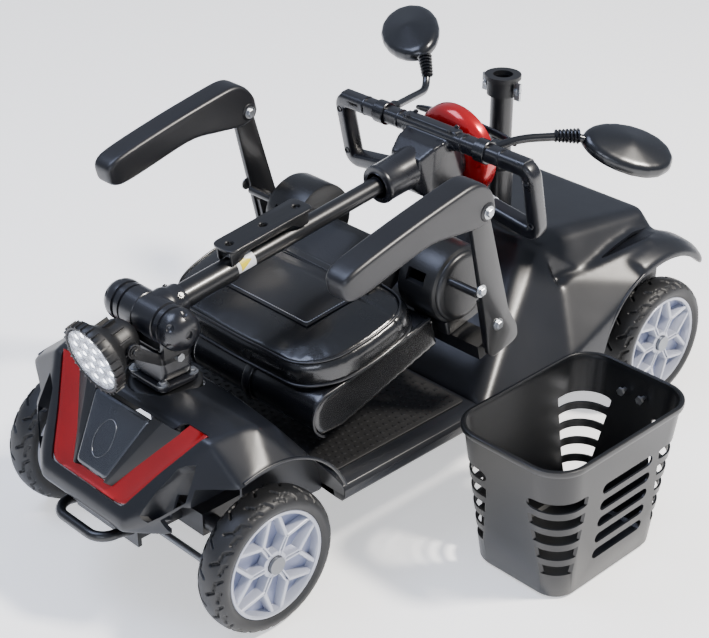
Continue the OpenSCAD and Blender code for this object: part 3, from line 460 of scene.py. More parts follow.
def bvhOf(obj):
    obj.data.calc_loop_triangles()
    return BVHTree.FromPolygons([v.co for v in obj.data.vertices],
                                [t.vertices for t in obj.data.loop_triangles])

cowl = {"wall": 4, "lipRadius": 140, "archX": 158, "voxel": 3.2, "columnHole": 50}

def nosePoint(u, v, h):
    t = math.radians(noseTilt)
    _, y, z = noseFoot
    return (u, y + v * math.cos(t) - h * math.sin(t), z + v * math.sin(t) + h * math.cos(t))

def shrunkCopy(obj, wallMm, floorMm, name):
    inner = obj.copy()
    inner.data = obj.data.copy()
    inner.name = name
    scene.collection.objects.link(inner)
    inner = modified(inner, "DISPLACE", strength=-wallMm / 1000, mid_level=0.0)
    for v in inner.data.vertices:
        if v.co.z < floorMm / 1000:
            v.co.z -= 0.08
    return inner

def cheekWedge(s, grow):
    # a recess in the cheek that ramps down from its lower edge to a short upper wall
    floor = [(108, 6, -14), (116, 2, -25), (150, 46, -41), (128, 74, -17), (148, 92, -23)]
    edge = [(100, -2, 20), (112, -6, 20), (162, 46, 20), (134, 84, 20), (158, 98, 20)]
    mx, my = 132, 44
    out = []
    for x, y, h in floor + edge:
        d = Vector((x - mx, y - my))
        d = d + d.normalized() * grow
        out.append((s * (mx + d.x), my + d.y, h - (grow if h < 0 else 0)))
    return out

def makeFrontCowl():
    outline = [
        nosePoint(87, -13, 1), nosePoint(94, -4, -8), nosePoint(118, 56, 1), nosePoint(130, 50, -10),
        nosePoint(158, 126, 1), nosePoint(166, 118, -10),
        (169, -404, 279), (176, -384, 278), (164, -342, 254), (60, -333, 258), (60, -400, 281),
        (150, -268, 156), (184, -263, 150), (207, -262, 142), (207, -262, 118), (150, -262, 118),
        (217, -446, 233), (217, -425, 241), (217, -400, 244), (217, -352, 232), (217, -303, 183),
        (214, -274, 152),
        (84, -536, 149), (82, -528, 139), (122, -500, 150), (120, -494, 138), (152, -462, 170),
        (205, -448, 205)]
    outer = softened(hullOf("cowlOuter", outline), cowl["voxel"], 15)
    inner = shrunkCopy(outer, cowl["wall"], 150, "cowlInner")
    well = [drum("well", s * cowl["archX"] - (70 if s < 0 else 0), s * cowl["archX"] + (70 if s > 0 else 0),
                 wheel["front"], wheel["height"], cowl["lipRadius"] + 6) for s in (-1, 1)]
    inner = cut(inner, *well)
    ends = block("ends", (-240, -262, 60), (240, -200, 300))
    arches = [drum("arch", s * (cowl["archX"] + 4) - (80 if s < 0 else 0),
                   s * (cowl["archX"] + 4) + (80 if s > 0 else 0),
                   wheel["front"], wheel["height"], cowl["lipRadius"]) for s in (-1, 1)]
    knuckleHoles = drum("knuckleHole", -175, 175, wheel["front"], wheel["height"], 50)
    face = slab("face",
                roundedOutline([(-75, 0), (75, 0), (107, 61), (150, 133), (104, 133), (98, 118), (-98, 118),
                                (-104, 133), (-150, 133), (-107, 61)], 7), -9, 30, nose, 0)
    column = lathe("columnHole",
                   [(0, -60), (cowl["columnHole"], -60), (cowl["columnHole"] + 4, 60), (0, 60)],
                   ground @ Matrix.Translation((0, -387, 270)), 72)
    vents = [hullOf("vent", cheekWedge(s, 0), nose, mirrored=False) for s in (-1, 1)]
    boxes = [hullOf("ventBox", cheekWedge(s, 4), nose, mirrored=False) for s in (-1, 1)]
    inner = cut(inner, *boxes)
    underCuts = [hullOf("underCut", [(s * x, y, z) for x in (128, 262) for y, z in
                                     ((-600, 30), (-488, 196), (-400, 196), (-400, 30))], mirrored=False)
                 for s in (-1, 1)]
    louvres = [block("louvre", (-146, -338 + 9 * k, 225), (146, -334 + 9 * k, 262)) for k in range(3)]
    return cut(outer, inner, *arches, knuckleHoles, face, column, ends, *louvres, *vents, *underCuts)

def makeArchLips(name, y, first, last):
    # the rolled lip round a pair of arches; angles are from straight ahead, over the top
    lips = []
    r = cowl["lipRadius"] + 2.4
    for s in (-1, 1):
        path = []
        for k in range(45):
            angle = math.radians(first + (last - first) * k / 44)
            path.append((s * 213.5, y - r * math.cos(angle), wheel["height"] + r * math.sin(angle)))
        lips.append(sweep("lip", path, boxSection(4.5, 5, 2), up=(1, 0, 0)))
    return joined(name, lips)

def makeNosePanel():
    # the U: a dished strip between an outer and an inner line
    outer = filleted([(-149, 132, 0), (-107, 61, 0), (-75, 0.8, 0), (75, 0.8, 0), (107, 61, 0),
                      (149, 132, 0)], 16, 8)
    inner = filleted([(-113, 132, 0), (-52, 36, 0), (-38, 15, 0), (38, 15, 0), (52, 36, 0), (113, 132, 0)],
                     10, 8)

    def even(path, count=90):
        steps = [0]
        for a, b in zip(path, path[1:]):
            steps.append(steps[-1] + (b - a).length)
        out = []
        for k in range(count):
            d = steps[-1] * k / (count - 1)
            i = max(j for j in range(len(steps)) if steps[j] <= d + 1e-6)
            i = min(i, len(path) - 2)
            out.append(path[i].lerp(path[i + 1], (d - steps[i]) / max(steps[i + 1] - steps[i], 1e-6)))
        return out
    rows = []
    for a, b in zip(even(outer), even(inner)):
        row = []
        for t, h in ((0, -7), (0.0, -1.5), (0.05, -0.6), (0.2, -2.2), (0.5, -3.6), (0.8, -4.2), (1, -4.4),
                     (1, -8)):
            p = a.lerp(b, t)
            row.append((p.x, p.y, h))
        rows.append(row)
    return shade(loft("redNosePanel", rows, nose), 60)

def makeBadge():
    # a crowned plate that stands proud; plain, with only a raised oval border as its emblem
    ring = [(-30, 18), (30, 18), (56, 112), (-56, 112)]
    rings = []
    for inset, h in ((0, -6), (0, 3.0), (1.5, 4.6), (5, 5.4), (16, 5.9)):
        outline = roundedOutline([(x * (1 - inset / 45), 65 + (y - 65) * (1 - inset / 47))
                                  for x, y in ring], 6)
        rings.append([(x, y, h) for x, y in outline])
    plate = loft("badgePlate", rings, nose)
    emblem = []
    for k in range(48):
        a = 2 * math.pi * k / 48
        emblem.append((17 * math.cos(a), 62 + 26 * math.sin(a), 6.0))
    border = sweep("emblemBorder", emblem + emblem[:1], roundSection(0.8, 8), nose, up=(0, 0, 1))
    return shade(joined("badgePanel", [plate, border]), 40)

def makeNoseFlanks():
    # black facets that climb from the red panel to the badge, and the collar round the column
    parts = []
    for s in (-1, 1):
        rows = []
        for t in (0, 0.35, 0.7, 1.0):
            v = 14 + (118 - 14) * t
            badge = 29.5 + 28 * t
            red = 39.5 + (106 - 39.5) * t ** 1.05
            middleX = badge + (red - badge) * 0.42
            rows.append([(s * (badge - 1), v, -8), (s * badge, v, 3.4), (s * (badge + 1.2), v, 4.2),
                         (s * middleX, v, 3.2 + 2 * t), (s * (middleX + 1.5), v, 2.4 + 2 * t),
                         (s * red, v, -4.6), (s * red, v, -9)])
        obj = loft("flank", rows, nose)
        parts.append(modified(obj, "BEVEL", width=0.0008, segments=2, limit_method="ANGLE"))
    collar = lathe("columnCollar", [(23, -10), (23, 3), (27, 5), (44, 5), (cowl["columnHole"] - 1, 2),
                                    (cowl["columnHole"] - 1, -10)],
                   ground @ Matrix.Translation((0, -387, 268)), 64)
    cutter = slab("faceCut", [(-160, -20), (160, -20), (160, 118), (-160, 118)], -9, 60, nose, 0)
    parts.append(cut(modified(collar, "REMESH", mode="VOXEL", voxel_size=0.002), cutter))
    return shade(joined("noseFlanksAndCollar", parts), 35)

keep(shade(makeFrontCowl(), 35), "bodyAbs", "chassis", ["front_shroud"])
keep(shade(makeArchLips("frontArchLips", wheel["front"], 74, 158), 60), "bodyAbs", "chassis")
keep(makeNosePanel(), "redPaint", "chassis", ["nose_panel"])
keep(makeBadge(), "badgePaint", "chassis", ["badge_panel"])
keep(makeNoseFlanks(), "darkAbs", "chassis", ["column_cover"])
print("front cowl made")

# deck and rear body

def makeRearBody():
    trunk = hullOf("trunk", [
        (88, 205, 299), (90, 214, 303), (113, 222, 292), (128, 444, 286), (140, 440, 280), (122, 452, 280),
        (158, 448, 250), (157, 454, 244), (160, 452, 118), (168, 300, 230), (168, 290, 118),
        (150, 240, 118)])
    step = hullOf("step", [
        (203, 5, 118), (207, 5, 124), (207, 5, 140), (184, 5, 150), (207, 240, 146), (207, 250, 118),
        (92, 210, 297), (112, 226, 288), (0, 205, 298), (40, 60, 176)])
    hip = hullOf("hip", [
        (150, 120, 150), (207, 200, 146), (217, 262, 130), (217, 284, 172), (217, 303, 198),
        (217, 340, 226),
        (217, 370, 237), (217, 400, 241), (216, 430, 236), (186, 400, 268), (180, 350, 262),
        (165, 300, 250),
        (150, 250, 240), (150, 452, 250), (186, 446, 256), (150, 262, 118), (214, 262, 118),
        (150, 452, 118),
        (210, 452, 118)])
    tails = []
    for s in (-1, 1):
        rings = []
        for k in range(13):
            angle = math.radians(70 + (139 - 70) * k / 12)
            fade = max(0, (k - 10) / 2) ** 2
            ring = []
            for radius, x in ((0, 217), (4, 220), (14, 215), (25, 196), (28, 172), (27, 156), (16, 156),
                              (11, 178),
                              (2, 208)):
                r = 137 + radius * (1 - 0.3 * fade) + 5 * fade
                ring.append((s * (188 + (x - 188) * (1 - 0.25 * fade)), wheel["rear"] - r * math.cos(angle),
                             wheel["height"] + r * math.sin(angle)))
            rings.append(ring)
        tails.append(loft("tail", rings))
    merged = joined("rearOuter", [trunk, step, hip] + tails)
    outer = softened(merged, 3.6, 20)
    inner = shrunkCopy(outer, 4, 136, "rearInner")
    wells = [drum("well", s * 160 - (90 if s < 0 else 0), s * 160 + (90 if s > 0 else 0),
                  wheel["rear"], wheel["height"], 147) for s in (-1, 1)]
    inner = cut(inner, *wells, block("deckEnd", (-250, -60, 0), (250, 10, 400)))
    arches = [drum("arch", s * 166 - (90 if s < 0 else 0), s * 166 + (90 if s > 0 else 0),
                   wheel["rear"], wheel["height"], 140) for s in (-1, 1)]
    grooves, liners = [], []
    for s in (-1, 1):
        for lift, made in ((9, grooves), (2, liners)):
            made.append(hullOf("groove", [
                (s * 158, 318, 243 + lift), (s * 172, 306, 262 + lift), (s * 158, 318, 290),
                (s * 172, 306, 290),
                (s * 150, 480, 258 + lift), (s * 180, 480, 258 + lift), (s * 196, 480, 272 + lift),
                (s * 150, 480, 300), (s * 196, 480, 300), (s * 180, 322, 258 + lift)], mirrored=False))
    inner = cut(inner, *liners)
    post = lathe("postHole", [(0, 0), (24, 0), (24, 160), (0, 160)],
                 ground @ Matrix.Translation((0, 257, 200)), 64)
    shell = cut(outer, inner, *arches, post, *grooves)
    lamps = [block("lampHole", (s * 94 - 24, 438, 182), (s * 94 + 24, 470, 218)) for s in (-1, 1)]
    return cut(shell, *lamps)

def makeMat():
    # a thin sheet with a border and rows of round studs
    sheet = slab("matSheet", roundedOutline([(-178, -254), (178, -254), (178, -2), (-178, -2)], 8), 148,
                 151,
                 ground, 0.8)
    parts = [sheet]
    verts, faces = [], []
    for i, x in enumerate(range(-168, 169, 12)):
        for y in range(-246 + 6 * (i % 2), -8, 12):
            start = len(verts)
            for r, z in ((3.6, 150.9), (3.1, 151.9)):
                verts += [(x + r * math.cos(a * math.pi / 4), y + r * math.sin(a * math.pi / 4), z)
                          for a in range(8)]
            faces += [(start + k, start + (k + 1) % 8, start + 8 + (k + 1) % 8, start + 8 + k)
                      for k in range(8)]
            faces.append(tuple(range(start + 8, start + 16)))
            faces.append(tuple(range(start + 7, start - 1, -1)))
    parts.append(meshObject("matStuds", verts, faces, ground))
    return joined("studdedMat", parts)

def makeDeck():
    # the sill: one moulding with rounded shoulders, open below
    outline = [(-201, 118), (-207, 125), (-207, 137), (-203, 143), (-188, 148), (188, 148), (203, 143),
               (207, 137),
               (207, 125), (201, 118), (188, 118), (184, 139), (-184, 139), (-188, 118)]
    rings = [[(x, y, z) for x, z in outline] for y in (-263, 6)]
    deck = loft("deck", rings, ground)
    return modified(deck, "BEVEL", width=0.0025, segments=3, limit_method="ANGLE")

keep(shade(makeRearBody(), 35), "bodyAbs", "chassis", ["rear_shroud"])
keep(shade(makeArchLips("rearArchLips", wheel["rear"], 22, 130), 60), "bodyAbs", "chassis")
keep(shade(makeMat(), 50), "matRubber", "chassis", ["floor_mat"])
keep(shade(makeDeck(), 40), "bodyAbs", "chassis", ["deck_pan"])
print("deck and rear body made")

# wheels

tread = {"pitchDegrees": 24, "depth": 3.4, "grooveWidth": 3.2, "around": 540, "across": 56}
rimShape = {"radius": 77, "faceX": 19, "spokes": 6, "forkAt": 0.5, "ribWidth": 6.5}

def tyreProfile(t):
    # t from -1 to 1 across the tyre: sidewall, shoulder and crown
    half, top = wheel["width"] / 2, wheel["radius"]
    if abs(t) < 0.62:
        u = abs(t) / 0.62
        return math.copysign(half * 0.8 * u, t), top - 5.0 * u ** 2.4
    u = (abs(t) - 0.62) / 0.38
    angle = u * math.pi / 2
    x = half * 0.8 + half * 0.2 * math.sin(min(angle * 1.6, math.pi / 2))
    r = top - 5.0 - (top - 5.0 - rimShape["radius"]) * u ** 1.25
    x -= 3.0 * max(0, u - 0.7) / 0.3
    return math.copysign(x, t), r

def grooveDepth(angles, offsets):
    # hooked grooves from both shoulders that interlock along the crown
    pitch = tread["pitchDegrees"]
    lines = []
    for side in (-1, 1):
        shift = 0 if side > 0 else pitch / 2
        lines.append([(shift - 4, side * 25), (shift + 1, side * 15), (shift + 9, side * 13),
                      (shift + 13, side * 3)])
        lines.append([(shift + 6, side * 26), (shift + 9.5, side * 20), (shift + 17, side * 18)])
    best = np.full(angles.shape, 99.0)
    mmPerDegree = math.radians(1) * wheel["radius"]
    for line in lines:
        for (a0, x0), (a1, x1) in zip(line, line[1:]):
            for turn in (-pitch, 0, pitch):
                p = np.stack([(np.mod(angles, pitch) - a0 - turn) * mmPerDegree, offsets - x0])
                d = np.array([(a1 - a0) * mmPerDegree, x1 - x0])
                t = np.clip((p[0] * d[0] + p[1] * d[1]) / (d @ d), 0, 1)
                best = np.minimum(best, np.hypot(p[0] - t * d[0], p[1] - t * d[1]))
    edge = np.clip((tread["grooveWidth"] / 2 + 0.6 - best) / 1.0, 0, 1)
    return tread["depth"] * edge

def makeTyre(side, y, name):
    rows = np.linspace(-1, 1, tread["across"])
    angles = np.arange(tread["around"]) * 360 / tread["around"]
    grid = [tyreProfile(t) for t in rows]
    offsets = np.array([g[0] for g in grid])
    radii = np.array([g[1] for g in grid])
    a, x = np.meshgrid(angles, offsets)
    r = np.repeat(radii[:, None], len(angles), 1)
    tall = np.clip((r - (wheel["radius"] - 9)) / 3, 0, 1)
    r = r - grooveDepth(a, x) * tall
    rad = np.radians(a)
    rings = [[(side * wheel["out"] + side * x[i, j], y + r[i, j] * math.cos(rad[i, j]),
               wheel["height"] + r[i, j] * math.sin(rad[i, j])) for j in range(len(angles))]
             for i in range(len(rows))]
    inner = rimShape["radius"] - 1.5
    for offset in (wheel["width"] / 2 - 6, -wheel["width"] / 2 + 6):
        rings.append([(side * (wheel["out"] + offset), y + inner * math.cos(q),
                       wheel["height"] + inner * math.sin(q))
                      for q in np.radians(angles)])
    rings.append(rings[0])
    return shade(loft(name, rings, ground, capped=False), 38)

def makeRim(side, y, name):
    # a closed dish behind six forked spokes, a rolled flange and a hub with its cap
    turn = ground @ Matrix.Translation((side * wheel["out"], y, wheel["height"])) @ \
        Matrix.Rotation(math.radians(90 * side), 4, "Y")
    face, radius = rimShape["faceX"], rimShape["radius"]
    back = -wheel["width"] / 2 + 4
    parts = [lathe("rimBand", [
        (radius - 6, back), (radius, back), (radius, face + 1.2), (radius - 1.2, face + 3),
        (radius - 3.4, face + 3.4),
        (radius - 5.6, face + 2), (radius - 6.4, face - 1), (radius - 7.6, face - 12), (radius - 6, back)],
                   turn, 96)]
    # the dish takes the darker, bluer copy of the wheel lacquer, as painted shade in the pockets between
    # the spokes
    parts.append(withMaterial(lathe("dish",
                                    [(8.3, face - 17), (30, face - 17), (58, face - 15),
                                     (radius - 5, face - 13),
                                (radius - 5, face - 10), (58, face - 12), (30, face - 14), (8.3, face - 14),
                                     (8.3, face - 17)], turn, 96), "rimShade"))
    parts.append(lathe("hub",
                       [(8.2, -20), (17, -20), (17, face - 16), (20, face - 12), (19, face - 1),
                        (17.5, face),
                        (13, face), (12.4, face - 1.6), (8.2, face - 1.6), (8.2, -20)], turn, 64))

    def rib(name, a, b, width, low, high):
        # a bar from a to b with a bevelled top
        a, b = Vector(a), Vector(b)
        ahead = (b - a).normalized()
        across = Vector((-ahead.y, ahead.x, 0)) * width / 2
        rings = []
        for z, share in ((low, 1.25), (high - 1.6, 1.0), (high, 0.6)):
            corners = (a - across * share, b - across * share, b + across * share, a + across * share)
            rings.append([(p.x, p.y, z) for p in corners])
        return loft(name, rings, turn)
    reach = radius - 5
    fork = radius * rimShape["forkAt"] + 3
    for k in range(rimShape["spokes"]):
        base = math.radians(60 * k + 30)

        def spot(r, degrees):
            q = base + math.radians(degrees)
            return (r * math.cos(q), r * math.sin(q), 0)
        for s in (-1, 1):
            parts.append(rib("spoke", spot(15, s * 11), spot(fork, s * 3.4), 3.4, face - 14, face + 0.5))
        parts.append(rib("spokeWeb", spot(15, 0), spot(fork, 0), 6.5, face - 14, face - 2.5))
        for s in (-1, 1):
            parts.append(rib("fork", spot(fork - 2, 0), spot(reach, s * 24), rimShape["ribWidth"],
                             face - 14, face + 1))
    cap = lathe("axleEnd",
                [(0, face - 8), (7.6, face - 8), (7.6, face + 0.5), (6.4, face + 1.6), (3.2, face + 1.6),
                 (3.0, face - 1), (0, face - 1)], turn, 40)
    parts.append(withMaterial(cap, "turned"))
    ring = lathe("hubRing",
                 [(8.4, face - 2), (12.2, face - 2), (12.2, face + 0.3), (8.4, face + 0.3),
                  (8.4, face - 2)],
                 turn, 48)
    parts.append(withMaterial(ring, "darkAbs"))
    for part in parts:
        if not part.data.materials:
            withMaterial(part, "rimPaint")
    return shade(joined(name, parts), 40)

for end in ("front", "rear"):
    for side, label in ((1, "left"), (-1, "right")):
        body = f"{end}_{label}_wheel"
        tyre = makeTyre(side, wheel[end], f"{end}{label.title()}Tyre")
        keep(tyre, "tyreRubber", body, [f"{end}_{label}_tyre"])
        rim = makeRim(side, wheel[end], f"{end}{label.title()}Rim")
        keep(rim, None, body, [f"{end}_{label}_rim"])
print("wheels made")

# headlamp

lampTilt = 14
lampPlace = placement((0, lampAt.y * 1000, lampAt.z * 1000), 90 + lampTilt)

def makeLampShell():
    shell = lathe("lampShell",
                  [(0, -25), (9, -25), (17, -22.5), (24, -17), (28, -10), (29, -4), (29, 6), (31, 11),
                   (35, 16), (40, 22), (43, 27), (43.6, 33), (41, 33), (38, 30), (0, 30)],
                  lampPlace, 96)
    parts = [shell, drum("lampPins", -38, 38, lampAt.y * 1000, lampAt.z * 1000, 4.6, segments=32)]
    for k in range(12):
        a = math.radians(30 * k)
        fin = block("coolingFin", (-1.0, 28, -6), (1.0, 33.5, 13), lampPlace @ Matrix.Rotation(a, 4, "Z"))
        parts.append(fin)
    for s in (-1, 1):
        parts.append(bolt("lampBolt", (s * 35.8, lampAt.y * 1000, lampAt.z * 1000), (s, 0, 0), 5.0, 3))
    return shade(joined("lampShell", parts), 35)

def makeLampBezel():
    parts = [lathe("bezelRing", [(44.4, 28), (48.5, 28), (49.4, 31), (49.4, 41), (48.4, 43), (46.4, 43.6),
                                 (44.8, 42.4), (44.4, 28)], lampPlace, 96)]
    for k in range(30):
        a = math.radians(12 * k)
        parts.append(block("fin", (-1.1, 45.6, 30), (1.1, 51.2, 43.4),
                           lampPlace @ Matrix.Rotation(a, 4, "Z")))
    return shade(joined("lampBezel", parts), 35)

def makeLampOptics():
    # a metallised cup round each of the 1 + 6 + 12 emitters, under a clear domed cover
    spots = [(0, 0)] + [(18 * math.cos(math.radians(60 * k)), 18 * math.sin(math.radians(60 * k)))
                        for k in range(6)]
    spots += [(34.5 * math.cos(math.radians(30 * k + 15)), 34.5 * math.sin(math.radians(30 * k + 15)))
              for k in range(12)]
    parts = [withMaterial(lathe("plate", [(0, 33), (43.9, 33), (43.9, 36), (0, 36)], lampPlace, 64),
                          "reflector")]
    for x, y in spots:
        here = lampPlace @ Matrix.Translation((x, y, 36))
        parts.append(withMaterial(lathe("cup",
                                        [(3.4, 0), (5.6, 1.6), (7.6, 4.4), (8.3, 4.4), (8.3, 0), (3.4, 0)],
                                        here, 28), "reflector"))
        parts.append(withMaterial(lathe("emitter", [(0, 0), (4.4, 0), (4.2, 1.6), (2.6, 3.0), (0, 3.4)],
                                        here, 20),
                                  "emitter"))
    cover = lathe("cover", [(0, 41), (43.6, 41), (43.6, 42.2), (30, 43.8), (0, 44.8)], lampPlace, 64)
    parts.append(withMaterial(cover, "lens"))
    return shade(joined("lampOptics", parts), 40)

keep(makeLampShell(), "darkAbs", "headlamp", ["headlamp_body"])
keep(makeLampBezel(), "darkAbs", "headlamp", ["headlamp_bezel"])
keep(makeLampOptics(), None, "headlamp", ["headlamp_lens"])
print("headlamp made")

# tiller

stem = {"length": 521, "barZ": 35, "lowZ": -84, "upperTube": 13, "step": 134}
gripX = 182

def makePivotHousing():
    # a grooved barrel across the scooter with domed, dented end caps and a socket for the tube
    side = [(24.6, 33), (24.6, 35), (27.4, 35.8), (27.4, 43.6), (25.2, 44.4), (25.2, 48.4), (27.6, 49.2),
            (28, 56),
            (26.6, 62), (23, 68.5), (17, 73), (9, 75.2), (0, 75.6)]
    barrel = [(r, -x) for r, x in reversed(side)] + [(27.6, -31.5), (27.6, -8), (26.6, -7), (26.6, 7),
                                                     (27.6, 8),
                                                     (27.6, 31.5)] + side
    turn = tiller @ Matrix.Rotation(math.pi / 2, 4, "Y")
    obj = lathe("pivotHousing", barrel, turn, 96)
    for s in (-1, 1):
        for k in range(6):
            a = math.radians(60 * k + 20)
            where = tiller @ Matrix.Translation((s * 67, 30 * math.cos(a), 30 * math.sin(a)))
            dent = lathe("dent",
                         [(0, -8), (4.5, -6.5), (7.6, -2.5), (8, 0), (7.6, 2.5), (4.5, 6.5), (0, 8)], where,
                         32)
            obj = cut(obj, dent)
        where = turn @ Matrix.Translation((0, 0, s * 75.6))
        obj = cut(obj, lathe("capHole", [(0, -3), (5, -3), (6, 3), (0, 3)], where, 32))
    socket = lathe("socket",
                   [(17.2, 4), (25.5, 4), (25.5, 24), (24.5, 29), (22, 33), (21.4, 44), (20.2, 47.6),
                    (17.2, 48), (17.2, 4)], tiller @ Matrix.Rotation(-math.pi / 2, 4, "X"), 64)
    screws = [bolt("socketScrew", (0, 0, 0), (0, 0, 1), 2.6, 2.4) for _ in range(2)]
    for k, screw in enumerate(screws):
        place = tiller @ Matrix.Translation((16 * (2 * k - 1), 38, 15)) @ Matrix.Rotation(
            math.radians(46 * (2 * k - 1)), 4, "Y")
        screw.data.transform(place @ ground.inverted())
    return shade(joined("pivotHousing", [obj, socket] + screws), 38)

def tubePatch(name, radius, y0, y1, outline):
    # a thin film wrapped on a tube; outline is (angle from the top, share of the length)
    rings = []
    for grow in (0, 0.25):
        ring = []
        for degrees, share in outline:
            a = math.radians(degrees)
            ring.append(((radius + grow) * math.sin(a), y0 + (y1 - y0) * share,
                         (radius + grow) * math.cos(a)))
        rings.append(ring)
    return loft(name, rings, tiller)

def wrapped(name, radius, y0, y1, low, high):
    strips = []
    steps = 14
    for k in range(steps):
        a, b = low + (high - low) * k / steps, low + (high - low) * (k + 1) / steps
        strips.append(tubePatch(name, radius, y0, y1, [(a, 0), (b, 0), (b, 1), (a, 1)]))
    return joined(name, strips)

def makeLabels():
    film = wrapped("labelFilm", stem["upperTube"] + 0.15, stem["step"] + 2, stem["step"] + 33, -60, 112)
    marks = []
    for k in range(8):
        a, b = -1 + k / 4, -1 + (k + 1) / 4
        edgeA, edgeB = 1 - abs(a), 1 - abs(b)
        marks.append(tubePatch("mark", stem["upperTube"] + 0.45, stem["step"] + 7, stem["step"] + 28,
                               [(60 + 42 * a, 0.04), (60 + 42 * b, 0.04), (60 + 42 * b, 0.05 + 0.9 * edgeB),
                                (60 + 42 * a, 0.05 + 0.9 * edgeA)]))
    return film, joined("labelTriangle", marks)

def makeBracket():
    # a folded plate with three holes, on two short feet that are welded to the tube
    y, lift = 196, 33
    plate = slab("bracketPlate",
                 roundedOutline([(-21, y - 74), (21, y - 74), (21, y + 74), (-21, y + 74)], 13, 8),
                 lift, lift + 4.4, tiller, 1.1, 3)
    for dy in (-59, 0, 59):
        where = tiller @ Matrix.Translation((0, y + dy, lift - 6))
        plate = cut(plate,
                    lathe("bracketHole", [(0, 0), (5.5, 0), (5.5, 9), (6.6, 10.5), (6.6, 14), (0, 14)],
                          where, 40))
    parts = [plate]
    for s in (-1, 1):
        web = slab("bracketWeb",
                   roundedOutline([(y - 70, 12), (y - 52, 14), (y - 44, 22), (y + 40, 22), (y + 50, 14),
                                   (y + 66, 12), (y + 68, 33.4), (y - 70, 33.4)], 4, 4),
                   s * 13 - 1.5,
                   s * 13 + 1.5, tiller @ yzPlane, 0.5, 2)
        parts.append(web)
    return shade(joined("basketBracket", parts), 35)

yzPlane = Matrix(((0, 0, 1, 0), (1, 0, 0, 0), (0, 1, 0, 0), (0, 0, 0, 1)))

def makeColumnNeck():
    # the housing below the barrel, on a square flange that stands on the cowl
    y = -389
    body = hullOf("neckBody", [(29, y - 26, 286), (29, y + 24, 286), (33, y - 20, 300), (33, y + 20, 300),
                               (26, y - 22, 336), (26, y + 20, 340), (30, y - 24, 318), (30, y + 22, 318)])
    body = softened(body, 2.4, 6)
    flange = slab("neckFlange",
                  roundedOutline([(-37, y - 32), (37, y - 32), (37, y + 32), (-37, y + 32)], 11), 277,
                  285, ground, 1.4)
    skirt = lathe("neckSkirt", [(15, 262), (30, 262), (30, 272), (26, 277), (15, 277), (15, 262)],
                  ground @ Matrix.Translation((0, -387, 0)), 64)
    parts = [body, flange, skirt]
    for s in (-1, 1):
        for t in (-1, 1):
            parts.append(withMaterial(bolt("flangeNut", (s * 29, y + t * 24, 285), (0, 0, 1), 5.4, 5),
                                      "zinc"))
    for part in parts:
        if not part.data.materials:
            withMaterial(part, "gripAbs")
    return shade(joined("columnNeck", parts), 35)

def makeTillerHead():
    n = stem["length"]
    parts = [hullOf("headBlock",
                    [(38, n - 52, -40), (40, n - 30, -42), (40, n + 16, -42), (34, n + 20, -30),
                     (34, n + 20, 24), (40, n - 6, 38), (36, n - 34, 34), (28, n - 58, 22),
                     (24, n - 66, -24)], tiller)]
    parts.append(hullOf("saddle", [(52, n + 14, 30), (52, n - 14, 30), (52, n + 8, 51), (52, n - 8, 51),
                                   (52, n - 10, 22), (52, n + 10, 22)], tiller))
    parts.append(hullOf("lowBoss",
                        [(40, n - 8, -66), (40, n + 18, -66), (40, n - 10, -36), (40, n + 18, -36)],
                        tiller))
    obj = softened(joined("headRaw", parts), 2.2, 6)
    extras = [obj]
    sleeve = lathe("neckSleeve",
                   [(13.4, 404), (25, 404), (27.4, 405), (28.4, 407.5), (28.4, 410), (27.6, 412),
                    (27.6, 440), (29.5, 474), (29.5, 505), (13.4, 505), (13.4, 404)],
                   tiller @ Matrix.Rotation(-math.pi / 2, 4, "X"), 96)
    extras.append(sleeve)
    extras.append(lathe("panelPlate",
                        [(0, n + 16), (36, n + 16), (38, n + 18), (38, n + 23.6), (0, n + 23.6)],
                        tiller @ Matrix.Translation((0, 0, -14)) @ Matrix.Rotation(-math.pi / 2, 4, "X"),
                        64))
    for x in (-40, 40):
        for y in (-8, 8):
            screw = bolt("saddleScrew", (0, 0, 0), (0, 0, 1), 2.8, 2.6)
            screw.data.transform(tiller @ Matrix.Translation((x, n + y, 50)) @ ground.inverted())
            extras.append(screw)
    return shade(joined("tillerHead", extras), 38)

def makeHandles():
    n, z = stem["length"], stem["barZ"]
    parts = [sweep("bar", [(-gripX + 4, n, z), (0, n, z), (gripX - 4, n, z)], boxSection(25, 24, 8),
                   tiller)]
    for s in (-1, 1):
        path = filleted([(s * 140, n, z), (s * gripX, n, z), (s * gripX, n + 11, stem["lowZ"] + 12),
                         (s * 60, n + 7, stem["lowZ"] + 33), (s * 24.6, n + 6, stem["lowZ"] + 34)], 17, 9)
        parts.append(sweep("loop", path, boxSection(23, 25, 7), tiller, up=(0, 1, 0)))
        for x, y, h in ((gripX, n - 10.4, z - 16), (gripX, n - 3.2, stem["lowZ"] + 30)):
            where = tiller @ Matrix.Translation((s * x, y, h)) @ Matrix.Rotation(math.pi / 2, 4, "X")
            parts.append(lathe("screwWell",
                               [(3.2, 0), (5.2, 0), (5.2, 1.6), (4.6, 2.0), (3.4, 1.2), (3.2, 0)],
                               where, 20))
        for x in (62, 132):
            where = tiller @ Matrix.Translation((s * x, n, z)) @ Matrix.Rotation(math.pi / 2, 4, "Y")
            ring = lathe("gripRing", [(12, -2), (14.2, -1.6), (14.6, 0), (14.2, 1.6), (12, 2), (12, -2)],
                         where, 40)
            parts.append(ring)
    obj = joined("handleLoops", parts)
    return shade(obj, 38)

def makeHandleRings():
    n = stem["length"]
    rings = []
    for s in (-1, 1):
        for x, h in ((92, stem["lowZ"] + 28), (100, stem["lowZ"] + 26.4)):
            where = tiller @ Matrix.Translation((s * x, n + 8.6, h)) @ Matrix.Rotation(math.radians(90), 4,
                                                                                       "Y")
            rings.append(lathe("silverRing",
                               [(11, -1.4), (14.8, -1.2), (15.2, 0), (14.8, 1.2), (11, 1.4), (11, -1.4)],
                               where, 40))
    return shade(joined("silverRings", rings), 40)

